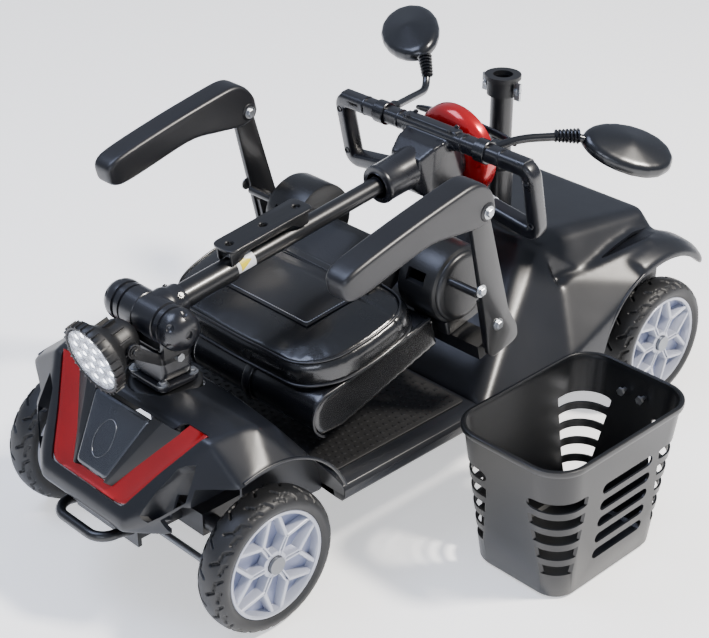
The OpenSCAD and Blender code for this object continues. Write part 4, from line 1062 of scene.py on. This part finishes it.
consolePlace = tiller @ Matrix.Translation((0, stem["length"] + 24, -14)) @ Matrix.Rotation(-math.pi / 2, 4,
                                                                                            "X")

def makeConsoleDome():
    dome = lathe("consoleDome",
                 [(0, 0.4), (36, 0.2), (46, 0.6), (54, 2.4), (61, 5.6), (66, 10), (69, 15.4), (70, 20),
                  (70, 29), (69, 30), (66.6, 30), (66.2, 21), (60, 12), (0, 8)],
                 consolePlace, 128)
    for k in range(2):
        angle = math.radians(180 * k)
        place = consolePlace @ Matrix.Rotation(angle, 4, "Z") @ Matrix.Translation((58, 0, 0))
        dome = cut(dome, lathe("domeScrewHole", [(0, -3), (3.4, -3), (3.4, 7), (0, 7)], place, 32))
    return shade(dome, 35)

def makeConsolePanel():
    # the rider's side: a crowned disc with a raised rim, a gauge window and three switch pads
    disc = lathe("panelDisc",
                 [(0, 22), (65.6, 22), (65.8, 27.6), (64.8, 28.8), (61, 29.4), (60, 28.6), (57.5, 29.6),
                  (40, 31.8), (0, 33.2)], consolePlace, 128)
    parts = [disc]
    window = slab("gaugeFrame", roundedOutline([(-22, 36), (22, 36), (18, 52), (-18, 52)], 3), 28, 33.4,
                  consolePlace @ Matrix.Scale(-1, 4, (0, 1, 0)), 0.8)
    parts.append(window)
    for x in (-44, -36, 44):
        parts.append(lathe("switchPad", [(0, 28), (5.2, 28), (5.2, 32.4), (4.2, 33.2), (0, 33.6)],
                           consolePlace @ Matrix.Translation((x, 2 if abs(x) > 40 else 16, 0)), 28))
    return shade(joined("consolePanel", parts), 35)

def makeDial():
    where = tiller @ Matrix.Translation((26, stem["length"], -36)) @ Matrix.Rotation(-math.pi / 2, 4, "X")
    rings = []
    for r, z in ((12.6, 58.8), (12.6, 61), (11.6, 64), (11, 66.4), (9.6, 67.2)):
        rings.append([((r + (0.45 if k % 4 < 2 else -0.35) * (z < 67)) * math.cos(2 * math.pi * k / 96),
                       (r + (0.45 if k % 4 < 2 else -0.35) * (z < 67)) * math.sin(2 * math.pi * k / 96), z)
                      for k in range(96)])
    knob = loft("dialKnob", rings, where)
    pointer = block("dialPointer", (-1.1, 2, 66.8), (1.1, 10, 68.2), where)
    return shade(joined("speedDial", [knob, pointer]), 35)

def makeThrottle():
    # one wing-shaped lever: a hub with a swept paddle each side
    n = stem["length"]
    z = 16
    path = [(-98, n + 66, z), (-80, n + 70, z), (-40, n + 75, z), (0, n + 77, z), (40, n + 75, z),
            (80, n + 70, z),
            (98, n + 66, z)]
    rings = []
    for k, p in enumerate(path):
        half = (4.0, 7.0, 6.0, 7.5, 6.0, 7.0, 4.0)[k]
        rings.append([(p[0], p[1] + a * 0.55, p[2] + b) for a, b in roundSection(half, 24)])
    paddles = modified(loft("paddles", rings, tiller), "SUBSURF", levels=1, render_levels=1)
    hub = lathe("hub", [(0, 47), (7, 47), (7.6, 62), (9.6, 70), (10, 78), (7, 83), (0, 85)],
                tiller @ Matrix.Translation((0, n - 0, z)) @ Matrix.Rotation(-math.pi / 2, 4, "X"), 40)
    return shade(joined("throttleLever", [paddles, hub]), 40)

keep(makePivotHousing(), "gripAbs", "tiller", ["pivot_housing"])
film, triangle = makeLabels()
keep(film, "sticker", "tiller")
keep(triangle, "warning", "tiller")
keep(makeBracket(), "blackSteel", "tiller", ["basket_bracket"])
keep(makeColumnNeck(), None, "steering")
keep(makeTillerHead(), "gripAbs", "tiller", ["tiller_head"])
keep(makeHandles(), "gripAbs", "tiller", ["handle_loops"])
keep(makeHandleRings(), "zinc", "tiller")
keep(makeConsoleDome(), "redPaint", "tiller", ["console_cover"])
keep(makeConsolePanel(), "darkAbs", "tiller", ["console_panel"])
keep(makeDial(), "paleAbs", "dial", ["speed_dial"])
keep(makeThrottle(), "gripAbs", "throttle", ["throttle_lever"])
print("tiller made")

# mirrors

mirrors = {
    "left": {"side": 1, "bend": (122, 155, 484), "end": (166, 214, 484), "aim": (49, -16, 20)},
    "right": {"side": -1, "bend": (-142, 247, 456), "end": (-162, 264, 490), "aim": (150, 12, -24)},
}

def ballPoints(where, radius, flat=1.0):
    points = []
    for i in range(-4, 5):
        polar = math.radians(22.5 * i)
        for k in range(16):
            a = 2 * math.pi * k / 16
            points.append((where[0] + radius * math.cos(polar) * math.cos(a),
                           where[1] + radius * math.cos(polar) * math.sin(a),
                           where[2] + radius * flat * math.sin(polar)))
    return points

def makeMirror(name, facts):
    lift, turn, roll = -facts["aim"][1], facts["aim"][0], facts["aim"][2]
    place = ground @ Matrix.Translation(facts["end"]) @ Matrix.Rotation(math.radians(turn), 4, "Z") @ \
        Matrix.Rotation(math.radians(lift), 4, "Y") @ Matrix.Rotation(math.radians(roll), 4, "X")
    shape = []
    for k in range(18):
        a = math.radians(20 * k)
        wide = 33 * (1 + 0.22 * math.cos(a))
        shape += ballPoints((84 + 55 * math.cos(a) - 6 * (math.sin(a) ** 2), wide * math.sin(a), 0), 13)
    shape += ballPoints((84, 0, -4), 30, 0.84) + ballPoints((24, 0, -2), 10)
    shell = softened(hullOf("mirrorShell", shape, place, mirrored=False), 2.4, 14)
    shell = cut(shell, block("faceCut", (-30, -90, -60), (220, 90, -6), place))
    lip = [(82 + 60 * math.cos(math.radians(10 * k)), 40 * math.sin(math.radians(10 * k)))
           for k in range(36)]
    inner = slab("lipCut", lip, -12, -2.6, place, 0)
    shell = cut(shell, inner)
    parts = [shell]
    start = tiller @ Vector((facts["side"] * 98, stem["length"] + 5, stem["barZ"]))
    start = ground.inverted() @ start
    end = Vector(facts["end"])
    tip = place @ Vector((20, 0, 0))
    tip = ground.inverted() @ tip
    path = filleted([start, facts["bend"], end, tip], 26, 9)
    parts.append(sweep("stalk", path, roundSection(6, 20)))
    # a rubber gaiter covers the joint between stalk and housing
    ahead = (tip - Vector(facts["bend"])).normalized()
    turnTo = ahead.to_track_quat("Z", "Y").to_matrix().to_4x4()
    for k in range(7):
        where = ground @ Matrix.Translation(end - ahead * (22 - 5.2 * k)) @ turnTo
        radius = 8 + 0.35 * k
        parts.append(lathe("fold", [(4, -2.6), (radius, -1.6), (radius + 1.3, 0), (radius, 1.6), (4, 2.6)],
                           where, 28))
    clampPlace = tiller @ Matrix.Translation((facts["side"] * 98, stem["length"], stem["barZ"])) @ \
        Matrix.Rotation(math.pi / 2, 4, "Y")
    parts.append(lathe("clamp",
                       [(13.6, -10), (16, -10), (17, -9), (17, 9), (16, 10), (13.6, 10), (13.6, -10)],
                       clampPlace, 48))
    parts.append(lathe("boss", [(0, 10), (9, 10), (9, 24), (7.4, 27), (0, 27)],
                       tiller @ Matrix.Translation((facts["side"] * 98, stem["length"], stem["barZ"])) @
                       Matrix.Rotation(-math.pi / 2, 4, "X"), 32))
    return shade(joined(name, parts), 38)

for name, facts in mirrors.items():
    keep(makeMirror(f"{name}Mirror", facts), "mirrorAbs", f"{name}_mirror", [f"mirror_{name}"])
print("mirrors made")

# seat

seat = {"cushionHalf": 160, "cushionLength": 218, "cushionHigh": 52, "hingeY": 245, "hingeZ": 100}

def inSeat(p):
    return seatFrame.inverted() @ Vector(p)

def puffed(obj, stitched, pressure, frames=20):
    # the foam pushes the cover out while its stitched lines hold; run for a fixed number of frames
    group = obj.vertex_groups.new(name="stitched")
    for v in obj.data.vertices:
        weight = stitched(inSeat(v.co))
        if weight > 0:
            group.add([v.index], weight, "REPLACE")
    cloth = obj.modifiers.new("cover", "CLOTH")
    cloth.settings.quality = 6
    cloth.settings.mass = 0.4
    cloth.settings.tension_stiffness = 30
    cloth.settings.compression_stiffness = 30
    cloth.settings.shear_stiffness = 10
    cloth.settings.bending_stiffness = 2
    cloth.settings.use_pressure = True
    cloth.settings.uniform_pressure_force = pressure
    cloth.settings.vertex_group_mass = "stitched"
    cloth.settings.pin_stiffness = 1.0
    cloth.settings.effector_weights.gravity = 0.0
    cloth.point_cache.frame_start = 1
    cloth.point_cache.frame_end = frames
    for f in range(1, frames + 1):
        scene.frame_set(f)
    obj = evaluated(obj)
    scene.frame_set(1)
    return obj

def seamsPressed(obj, lines, depth, width):
    # grooves where the panels are sewn together; each line is (point, point) in the seat's frame
    toSeat = seatFrame.inverted()
    for v in obj.data.vertices:
        p = toSeat @ v.co
        drop = 0
        for a, b, low, high in lines:
            if not low <= p.z <= high:
                continue
            a2, b2 = Vector(a), Vector(b)
            d = b2 - a2
            t = max(0, min(1, (p.xy - a2).dot(d) / d.length_squared))
            gap = (p.xy - a2 - d * t).length
            drop = max(drop, depth * math.exp(-(gap / width) ** 2))
        if drop:
            v.co -= v.normal * (drop / 1000)
    return obj

def makeCushion():
    # a moulded foam block with a rolled front edge under one vinyl cover
    w, l, h = seat["cushionHalf"], seat["cushionLength"], seat["cushionHigh"]
    points = []
    for x, grow in ((w + 2, 0), (w - 3, 1.5)):
        for k in range(11):
            a = math.radians(-45 + 18 * k)
            points.append((x, 20 - (33 + grow) * math.cos(a), 24 + (32 + grow) * math.sin(a)))
        points += [(x, l, 2), (x, l, h - 6), (x, l - 8, h), (x, 30, -8)]
    obj = softened(hullOf("cushion", points, seatFrame), 4.5, 2)
    seams = ((-84, 3), (30, 2.5))

    def stitched(p):
        if p.z < 0 or abs(p.x) > w - 3:
            return 1.0
        near = min(abs(p.x - x) for x, _ in seams)
        return 0.7 if near < 3 and p.y < 60 else 0.0
    obj = puffed(obj, stitched, 2.2)
    obj = modified(obj, "SUBSURF", levels=1, render_levels=1)
    seatLines = [((x, -20), (x, l + 20), -2, 80) for x, _ in seams]
    return seamsPressed(obj, seatLines, 2.4, 1.7)

def makeCushionTrim():
    # a sewn-on band over the roll, and piping along the cushion's two sides
    parts = []
    w, l, h = seat["cushionHalf"], seat["cushionLength"], seat["cushionHigh"]
    for s in (-1, 1):
        path = [(s * (w + 1), 20 - 35 * math.cos(math.radians(a)), 24 + 34 * math.sin(math.radians(a)))
                for a in range(-50, 81, 10)]
        path += [(s * (w + 1), 60, h + 1), (s * (w + 1), l - 6, h - 1)]
        parts.append(sweep("piping", path, roundSection(2.0, 12), seatFrame, up=(1, 0, 0)))
    for x, half in ((30, 7),):
        rings = []
        for k in range(19):
            a = math.radians(-35 + 125 * k / 18)
            y, z = 20 - 36.5 * math.cos(a), 24 + 35.5 * math.sin(a)
            rings.append([(x + dx, y - dz * math.cos(a), z + dz * math.sin(a))
                          for dx, dz in ((-half, -2), (half, -2), (half, 1.2), (half - 1, 1.8),
                                         (-half + 1, 1.8),
                                         (-half, 1.2))])
        parts.append(loft("band", rings, seatFrame))
    return joined("cushionTrim", parts)

backOutline = [(-128, 0), (0, -4), (128, 0), (164, 40), (173, 92), (172, 160), (150, 192), (112, 200),
               (-112, 200),
               (-150, 192), (-172, 160), (-173, 92), (-164, 40)]

def backRing(inset, z):
    outline = roundedOutline(backOutline, 34, 6)
    middleY = 98
    return [(x * (1 - inset / 172), middleY + (y - middleY) * (1 - inset / 100), z) for x, y in outline]

def makeBackrest():
    # foam on a curved board: the panel's rim is sewn, the middle swells
    rings = [backRing(12, 57), backRing(3, 59), backRing(0, 65), backRing(1, 84), backRing(5, 93),
             backRing(14, 98),
             backRing(44, 101)]
    obj = softened(loft("backrest", rings, seatFrame), 4.5, 3)
    edge = backRing(7, 0)

    def nearestEdge(p):
        return min((p.xy - Vector(q[:2])).length for q in edge)

    def stitched(p):
        if p.z < 66:
            return 1.0
        if nearestEdge(p) < 5:
            return 0.8
        return 0.6 if abs(p.y - 150) < 3 else 0.0
    obj = puffed(obj, stitched, 3.2)
    obj = modified(obj, "SUBSURF", levels=1, render_levels=1)
    lines = [((-180, 150), (180, 150), 80, 120)]
    ring = backRing(9, 0)
    lines += [(a[:2], b[:2], 90, 120) for a, b in zip(ring, ring[1:] + ring[:1])]
    return seamsPressed(obj, lines, 1.2, 1.4)

def makeBackPiping():
    parts = []
    for inset, z, r in ((7.5, 95.6, 1.7), (0.4, 63, 2.4)):
        ring = [Vector(p) for p in backRing(inset, z)]
        path = ring + ring[:2]
        parts.append(sweep("piping", path, roundSection(r, 12), seatFrame))
    return joined("backrestPiping", parts)

def makePocket():
    # a flat pocket sewn on three sides, with a band and a snap at its mouth
    outline = roundedOutline([(-112, 64), (86, 64), (100, 166), (-112, 166)], 8, 4)
    verts, faces = [], []
    nx, ny = 56, 30
    for j in range(ny + 1):
        for i in range(nx + 1):
            s, t = i / nx, j / ny
            x = -112 + (198 + 14 * t) * s
            y = 64 + 102 * t
            wave = 1.6 * math.sin(math.pi * s) * math.sin(math.pi * min(1, t * 1.15)) + \
                0.7 * math.sin(9 * s + 3 * t) * t
            verts.append((x, y, 104.0 + wave))
    for j in range(ny):
        for i in range(nx):
            a = j * (nx + 1) + i
            faces.append((a, a + 1, a + nx + 2, a + nx + 1))
    obj = meshObject("pocket", verts, faces, seatFrame)
    obj = modified(obj, "SOLIDIFY", thickness=0.0016, offset=1.0)
    return obj

def onBack(x, y):
    # height of the puffed panel at a place on it
    hit = backTree.ray_cast(seatFrame @ Vector((x, y, 160)),
                            (seatFrame.to_3x3() @ Vector((0, 0, -1))).normalized())
    return (seatFrame.inverted() @ hit[0]).z if hit[0] else 102

def laidOnBack(obj, lift):
    # drop a flat piece onto the panel so that it follows its swell
    toSeat = seatFrame.inverted()
    for v in obj.data.vertices:
        p = toSeat @ v.co
        p.z = onBack(p.x, p.y) + (p.z - 104) + lift
        v.co = seatFrame @ p
    return obj

def makeStitching():
    parts = []
    path = [(-108, 160), (-108, 68), (82, 68), (96, 160)]
    path = [p.xy for p in filleted([(x, y, 0) for x, y in path], 6)]
    length = 0
    for a, b in zip(path, path[1:]):
        steps = max(1, round((b - a).length / 4.2))
        for k in range(steps):
            p, q = a.lerp(b, k / steps), a.lerp(b, (k + 0.68) / steps)
            if (q - p).length < 0.8:
                continue
            zp, zq = onBack(*p) + 3.4, onBack(*q) + 3.4
            parts.append(sweep("stitch",
                               [(*p, zp - 0.3), (*p.lerp(q, 0.5), (zp + zq) / 2 + 0.25), (*q, zq - 0.3)],
                               roundSection(0.55, 6), seatFrame))
    return joined("pocketStitching", parts)

def makeMouthBand():
    rings = []
    for k in range(41):
        x = -114 + 216 * k / 40
        z = onBack(x, 172)
        rings.append([(x, 162, z + 2.2), (x, 162.4, z + 3.9), (x, 179.6, z + 3.6), (x, 180, z + 0.4),
                      (x, 171, z + 0.2)])
    band = loft("mouthBand", rings, seatFrame)
    ridges = []
    for y in (165.5, 176.5):
        ridges.append(sweep("ridge",
                            [(-112 + 212 * k / 30, y, onBack(-112 + 212 * k / 30, y) + 3.9)
                             for k in range(31)],
                            roundSection(0.6, 8), seatFrame))
    return joined("mouthBand", [band] + ridges)

def makeSnap():
    z = onBack(-14, 189)
    where = seatFrame @ Matrix.Translation((-14, 189, z - 0.5))
    ring = lathe("snapRing", [(3.4, 0), (7.2, 0), (7.6, 1.6), (6.4, 2.6), (4.4, 2.4), (3.6, 1.2), (3.4, 0)],
                 where, 36)
    pin = lathe("snapPin", [(0, 0), (3.2, 0), (3.0, 1.4), (1.4, 2.4), (0, 2.5)], where, 24)
    return shade(joined("snapButton", [ring, pin]), 50)

cushion = keep(shade(makeCushion(), 80), "vinyl", "seat", ["seat_cushion"])
keep(shade(makeCushionTrim(), 50), "pocketVinyl", "seat")
print("cushion sewn and filled")
backrest = makeBackrest()
backTree = bvhOf(backrest)
keep(shade(backrest, 80), "vinyl", "backrest", ["backrest_pad"])
keep(shade(makeBackPiping(), 60), "pocketVinyl", "backrest")
pocket = keep(shade(laidOnBack(makePocket(), 0.6), 60), "pocketVinyl", "backrest")
keep(shade(makeStitching(), 60), "thread", "backrest")
keep(shade(makeMouthBand(), 40), "pocketVinyl", "backrest")
keep(makeSnap(), "zinc", "backrest")
print("backrest sewn and filled")

def makeNeck():
    # the grained hinge cover between the backrest and the side covers
    y, z = seat["hingeY"], seat["hingeZ"]
    core = hullOf("neckCore",
                  [(98, y - 74, 62), (98, y - 74, 100), (98, y - 6, 114), (98, y + 8, 112),
                   (98, y + 14, 101),
                   (98, y + 10, 90), (98, y - 4, 86)], seatFrame)
    core = softened(core, 3.2, 3)
    return shade(core, 60)

def makeSideCovers():
    # grained drums over the hinge, each with a stepped edge and a slot
    parts = []
    y, z = seat["hingeY"] + 25, 74
    for s in (-1, 1):
        turn = seatFrame @ Matrix.Translation((s * 102, y, z)) @ Matrix.Rotation(math.radians(90 * s), 4,
                                                                                 "Y")
        shell = lathe("sideCover",
                      [(0, 0), (50, 0), (55, 1.5), (56, 5), (56, 60), (54.5, 64.5), (52, 66), (50.5, 67),
                       (50, 70), (47, 73.2), (40, 74.4), (0, 75)], turn, 128)
        inner = lathe("coverInner", [(0, 4), (49, 4), (49, 62), (0, 62)], turn, 64)
        shell = cut(shell, inner)
        shell = cut(shell, block("coverCut", (-260, y - 95, -60), (260, y + 95, 9), seatFrame))
        slot = block("coverSlot", (s * 118, y - 80, 96), (s * 150, y - 30, 112), seatFrame)
        shell = cut(shell, slot)
        skirt = slab("skirt", roundedOutline([(s * 103, y - 36), (s * 168, y - 36), (s * 168, y + 36),
                                              (s * 103, y + 36)][::s], 6), 8.4, 30, seatFrame, 1)
        parts += [shell, skirt]
    return shade(joined("sideCovers", parts), 38)

armrest = {"x": 229, "pivotY": 261, "pivotZ": 232, "length": 250}

def makeArmPosts():
    # bent flat bars with a gusset, bolted to the seat frame
    parts = []
    x0, y0, z0 = armrest["x"], armrest["pivotY"], armrest["pivotZ"]
    for s in (-1, 1):
        outline = [(y0 - 16, z0 + 12), (y0 - 8, z0 + 18), (y0 + 8, z0 + 18), (y0 + 17, z0 + 8),
                   (y0 + 30, 46),
                   (y0 + 42, 12), (y0 + 40, -6), (y0 + 30, -10), (y0 - 10, -10), (y0 - 18, -2),
                   (y0 - 18, 12),
                   (y0 - 15, 46)]
        smooth = roundedOutline(outline, 9, 5)
        verts = [(s * (x0 - 4), a, b) for a, b in smooth] + [(s * (x0 + 4), a, b) for a, b in smooth]
        n = len(smooth)
        faces = [tuple(range(n)), tuple(range(2 * n - 1, n - 1, -1))]
        faces += [(k, (k + 1) % n, n + (k + 1) % n, n + k) for k in range(n)]
        plate = meshObject("armPost", verts, faces, seatFrame)
        plate = modified(plate, "BEVEL", width=0.0012, segments=2, limit_method="ANGLE")
        parts.append(plate)
        parts.append(block("postRib", (s * (x0 - 12), y0 - 12, 0), (s * (x0 - 4), y0 + 12, 82), seatFrame))
        turn = seatFrame @ Matrix.Translation((s * 90, seat["hingeY"], seat["hingeZ"])) @ \
            Matrix.Rotation(math.radians(90 * s), 4, "Y")
        parts.append(lathe("hingePin", [(0, 0), (6, 0), (6, 136), (0, 136)], turn, 32))
    return shade(joined("armrestPosts", parts), 35)

def seatBolt(where, direction, radius, height):
    made = bolt("seatBolt", (0, 0, 0), direction, radius, height)
    made.data.transform(seatFrame @ Matrix.Translation(where) @ ground.inverted())
    return made

def makeArmBolts():
    parts = []
    for s in (-1, 1):
        for y, z in ((seat["hingeY"], 108), (seat["hingeY"] + 22, 37)):
            parts.append(seatBolt((s * (armrest["x"] + 4), y, z), (s, 0, 0), 6, 4.5))
    return shade(joined("armBolts", parts), 35)

def makeArmPad(side, name):
    # a one-piece moulding that thickens over the pivot, flat on top with rolled edges
    x0, y0, z0 = armrest["x"], armrest["pivotY"], armrest["pivotZ"]
    stations = [(-248, 252, 270), (-246, 248, 276), (-238, 243, 281), (-226, 241, 284), (-190, 241, 285.5),
                (-150, 242, 286), (-110, 243, 286), (-86, 238, 285.4), (-62, 229, 284.8), (-40, 222, 284),
                (-26, 217, 283.5), (-14, 214, 282), (-3, 214, 278), (6, 216, 270), (13, 220, 258),
                (17, 226, 246)]
    rings = []
    for k, (dy, low, high) in enumerate(stations):
        ends = (0.62, 0.84, 0.96)
        half = 20.5 * (ends[k] if k < 3 else (0.94 if k > 14 else 1))
        mid, tall = (low + high) / 2, (high - low) / 2
        radius = min(7, half * 0.5, tall * 0.7)
        rings.append([(side * (x0 + a), y0 + dy, mid + b)
                      for a, b in boxSection(2 * half, 2 * tall, radius, 5)])
    pad = modified(loft("armPad", rings, seatFrame), "SUBSURF", levels=1, render_levels=2)
    slot = block("padSlot", (side * x0 - 4.6, y0 - 42, 170), (side * x0 + 4.6, y0 + 60, z0 + 23), seatFrame)
    pad = cut(pad, slot)
    parts = [pad]
    for s in (-1, 1):
        here = seatFrame @ Matrix.Translation((side * x0 + s * 19.5, y0, z0)) @ Matrix.Rotation(
            math.radians(90 * s), 4, "Y")
        parts.append(lathe("pivotBoss", [(0, 0), (13, 0), (13, 1.6), (11.6, 2.6), (0, 2.6)], here, 40))
    return shade(joined(name, parts), 38)

def makePadBolt(side, name):
    here = armrest
    return shade(joined(name,
                        [seatBolt((side * here["x"] + s * 22, here["pivotY"], here["pivotZ"]), (s, 0, 0), 6,
                                  4)
                         for s in (-1, 1)]), 35)

keep(makeNeck(), "grainedAbs", "backrest")
keep(makeSideCovers(), "grainedAbs", "seat", ["seat_side_covers"])
keep(makeArmPosts(), "blackSteel", "seat", ["armrest_posts"])
keep(makeArmBolts(), "zinc", "seat")
for side, label in ((1, "left"), (-1, "right")):
    keep(makeArmPad(side, f"{label}ArmPad"), "padPu", f"{label}_armrest", [f"armrest_pad_{label}"])
    keep(makePadBolt(side, f"{label}PadBolts"), "zinc", f"{label}_armrest")
print("seat hardware made")

# basket

basketBox = [Vector(c) - Vector((centre.x, centre.y, 0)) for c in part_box("basket")]
basketShape = {"halfX": (basketBox[1].x - basketBox[0].x) * 500,
               "halfY": (basketBox[1].y - basketBox[0].y) * 500,
               "high": basketBox[1].z * 1000, "taper": 17, "wall": 3, "rows": 5, "firstRow": 50,
               "rowStep": 27,
               "slotHigh": 16.5}
basketPlace = placement(((basketBox[0].x + basketBox[1].x) * 500, (basketBox[0].y + basketBox[1].y) * 500,
                         0), 0)

def basketRing(inset, z, steps=10):
    s = basketShape
    share = max(0, min(1, z / s["high"]))
    x = s["halfX"] - 4 - s["taper"] * (1 - share) - inset
    y = s["halfY"] - 4 - 2 * s["taper"] * (1 - share) - inset
    r = 34 + 12 * share - inset
    return [(px, py, z) for px, py in roundedBox(x, y, r, steps)]

def roundedBox(x, y, r, steps):
    ring = []
    for cx, cy, start in ((1, 1, 0), (-1, 1, 90), (-1, -1, 180), (1, -1, 270)):
        for k in range(steps + 1):
            a = math.radians(start + 90 * k / steps)
            ring.append((cx * (x - r) + r * math.cos(a), cy * (y - r) + r * math.sin(a)))
    return ring

def makeBasket():
    s = basketShape
    high, wall = s["high"], s["wall"]
    outer = [basketRing(5, 0), basketRing(2, 1.2), basketRing(0, 4.5), basketRing(0, high - 1)]
    body = loft("basketBody", outer, basketPlace)
    inner = loft("basketInner",
                 [basketRing(wall + 4, wall), basketRing(wall, wall + 4), basketRing(wall, high + 2)],
                 basketPlace)
    body = cut(body, inner)
    for k in range(s["rows"]):
        z = s["firstRow"] + s["rowStep"] * k
        for sx in (-1, 1):
            for sy in (-1, 1):
                here = basketPlace @ Matrix.Translation((sx * (s["halfX"] - 36), sy * (s["halfY"] - 44),
                                                         z)) @ \
                    Matrix.Rotation(math.radians(sx * sy * -45), 4, "Z")
                body = cut(body, slotCutter(82, s["slotHigh"], 0, sy * 70, here))
        here = basketPlace @ Matrix.Translation((s["halfX"] - 20, 8, z)) @ Matrix.Rotation(math.pi / 2, 4,
                                                                                           "Z")
        body = cut(body, slotCutter(104, s["slotHigh"], -34, 34, here))
    rim = [(wall + 0.6, high - 10), (-2.6, high - 10), (-3.8, high - 8.5), (-4, high - 4), (-3.2, high - 1),
           (-1.4, high),
           (1.6, high), (wall - 0.2, high - 1.4), (wall + 0.6, high - 4), (wall + 0.6, high - 10)]
    rings = [basketRing(i, z, 14) for i, z in rim]
    rimBand = loft("basketRim", rings, basketPlace, capped=False)
    return shade(joined("basket", [body, rimBand]), 38)

def slotCutter(length, high, y0, y1, place):
    # a slot with round ends, cut along the place's Y
    outline = []
    r = high / 2
    for sx, start in ((1, -90), (-1, 90)):
        for k in range(9):
            a = math.radians(start + 180 * k / 8)
            outline.append((sx * (length / 2 - r) + r * math.cos(a), r * math.sin(a)))
    low, top = min(y0, y1), max(y0, y1)
    return loft("slot", [[(x, y, z) for x, z in outline] for y in (low, top)], place)

keep(makeBasket(), "basketPp", "basket", ["basket"])
print("basket made")

# the CAD pieces shown as they are

plain = {
    "blackSteel": ["front_bumper", "seat_post", "post_sleeve", "tiller_tube", "seat_base",
                   "steering_column",
                   "headlamp_yoke"],
    "frameSteel": ["front_frame", "rear_frame"],
    "zinc": ["post_screws", "column_nuts", "ignition_key", "basket_bolts"],
    "turned": ["half_shaft_left", "half_shaft_right"],
    "castAlloy": ["transaxle", "knuckle_left", "knuckle_right", "tie_rod"],
    "darkAbs": ["post_collar"],
    "caseAbs": ["battery_pack"],
    "yellowAbs": ["freewheel_lever"],
    "tailLens": ["rear_lamps"],
    "mirrorGlass": ["mirror_glass_left", "mirror_glass_right"],
}
for material, nodes in plain.items():
    for node in nodes:
        frame["nodes"][node].data.materials.clear()
        frame["nodes"][node].data.materials.append(mats[material])
print("CAD pieces given their finishes")

# floor, light and camera

studio = {"floorHalf": 6, "floorDrop": 0.001, "floorGlow": 0.75, "worldColour": "#dfe8fb",
          "worldStrength": 0.5}
floorMaterial, _, floorSurface = newMaterial("paleStudioFloor", "#ffffff", Roughness=0.9)
floorSurface.inputs["Emission Color"].default_value = linear("#ffffff")
floorSurface.inputs["Emission Strength"].default_value = studio["floorGlow"]
floorCorners = [(x * studio["floorHalf"], y * studio["floorHalf"], -studio["floorDrop"])
                for x, y in ((-1, -1), (1, -1), (1, 1), (-1, 1))]
floor = meshObject("floor", floorCorners, [(0, 1, 2, 3)])
floor.data.materials.append(floorMaterial)

def areaLight(name, where, target, size, watts, colour):
    data = bpy.data.lights.new(name, "AREA")
    data.shape = "RECTANGLE"
    data.size, data.size_y = size
    data.energy = watts
    data.color = linear(colour)[:3]
    obj = bpy.data.objects.new(name, data)
    obj.location = where
    obj.rotation_euler = (Vector(target) - Vector(where)).to_track_quat("-Z", "Y").to_euler()
    scene.collection.objects.link(obj)

lights = {
    "sun": ((2.2, 1.3, 3.4), (0, 0, 0.2), (0.5, 0.5), 300, "#fff8ee"),
    "sky": ((-1.2, -1.2, 3.0), (0, 0, 0.1), (1.8, 1.4), 60, "#cfdcff"),
    "front": ((1.6, -3.2, 1.6), (0, -0.1, 0.1), (1.6, 0.8), 30, "#e8eeff"),
}
for name, (where, target, size, watts, colour) in lights.items():
    areaLight(name, where, target, size, watts, colour)

world = bpy.data.worlds.new("studio")
scene.world = world
world.use_nodes = True
background = world.node_tree.nodes["Background"]
background.inputs["Color"].default_value = linear(studio["worldColour"])
background.inputs["Strength"].default_value = studio["worldStrength"]

cameraFit = {"position": (1515.5, -1522.6, 1414.3), "target": (-33.15, -12.33, 200), "lens": 86.0,
             "roll": -0.11}
cameraData = bpy.data.cameras.new("camera")
cameraData.lens = cameraFit["lens"]
cameraData.sensor_width = 36
cameraData.clip_end = 50
camera = bpy.data.objects.new("camera", cameraData)
scene.collection.objects.link(camera)
camera.location = at(*cameraFit["position"])
aim = (at(*cameraFit["target"]) - camera.location).to_track_quat("-Z", "Y")
camera.rotation_mode = "QUATERNION"
camera.rotation_quaternion = aim @ Matrix.Rotation(math.radians(-cameraFit["roll"]), 3, "Z").to_quaternion()
scene.camera = camera
print("stage set")
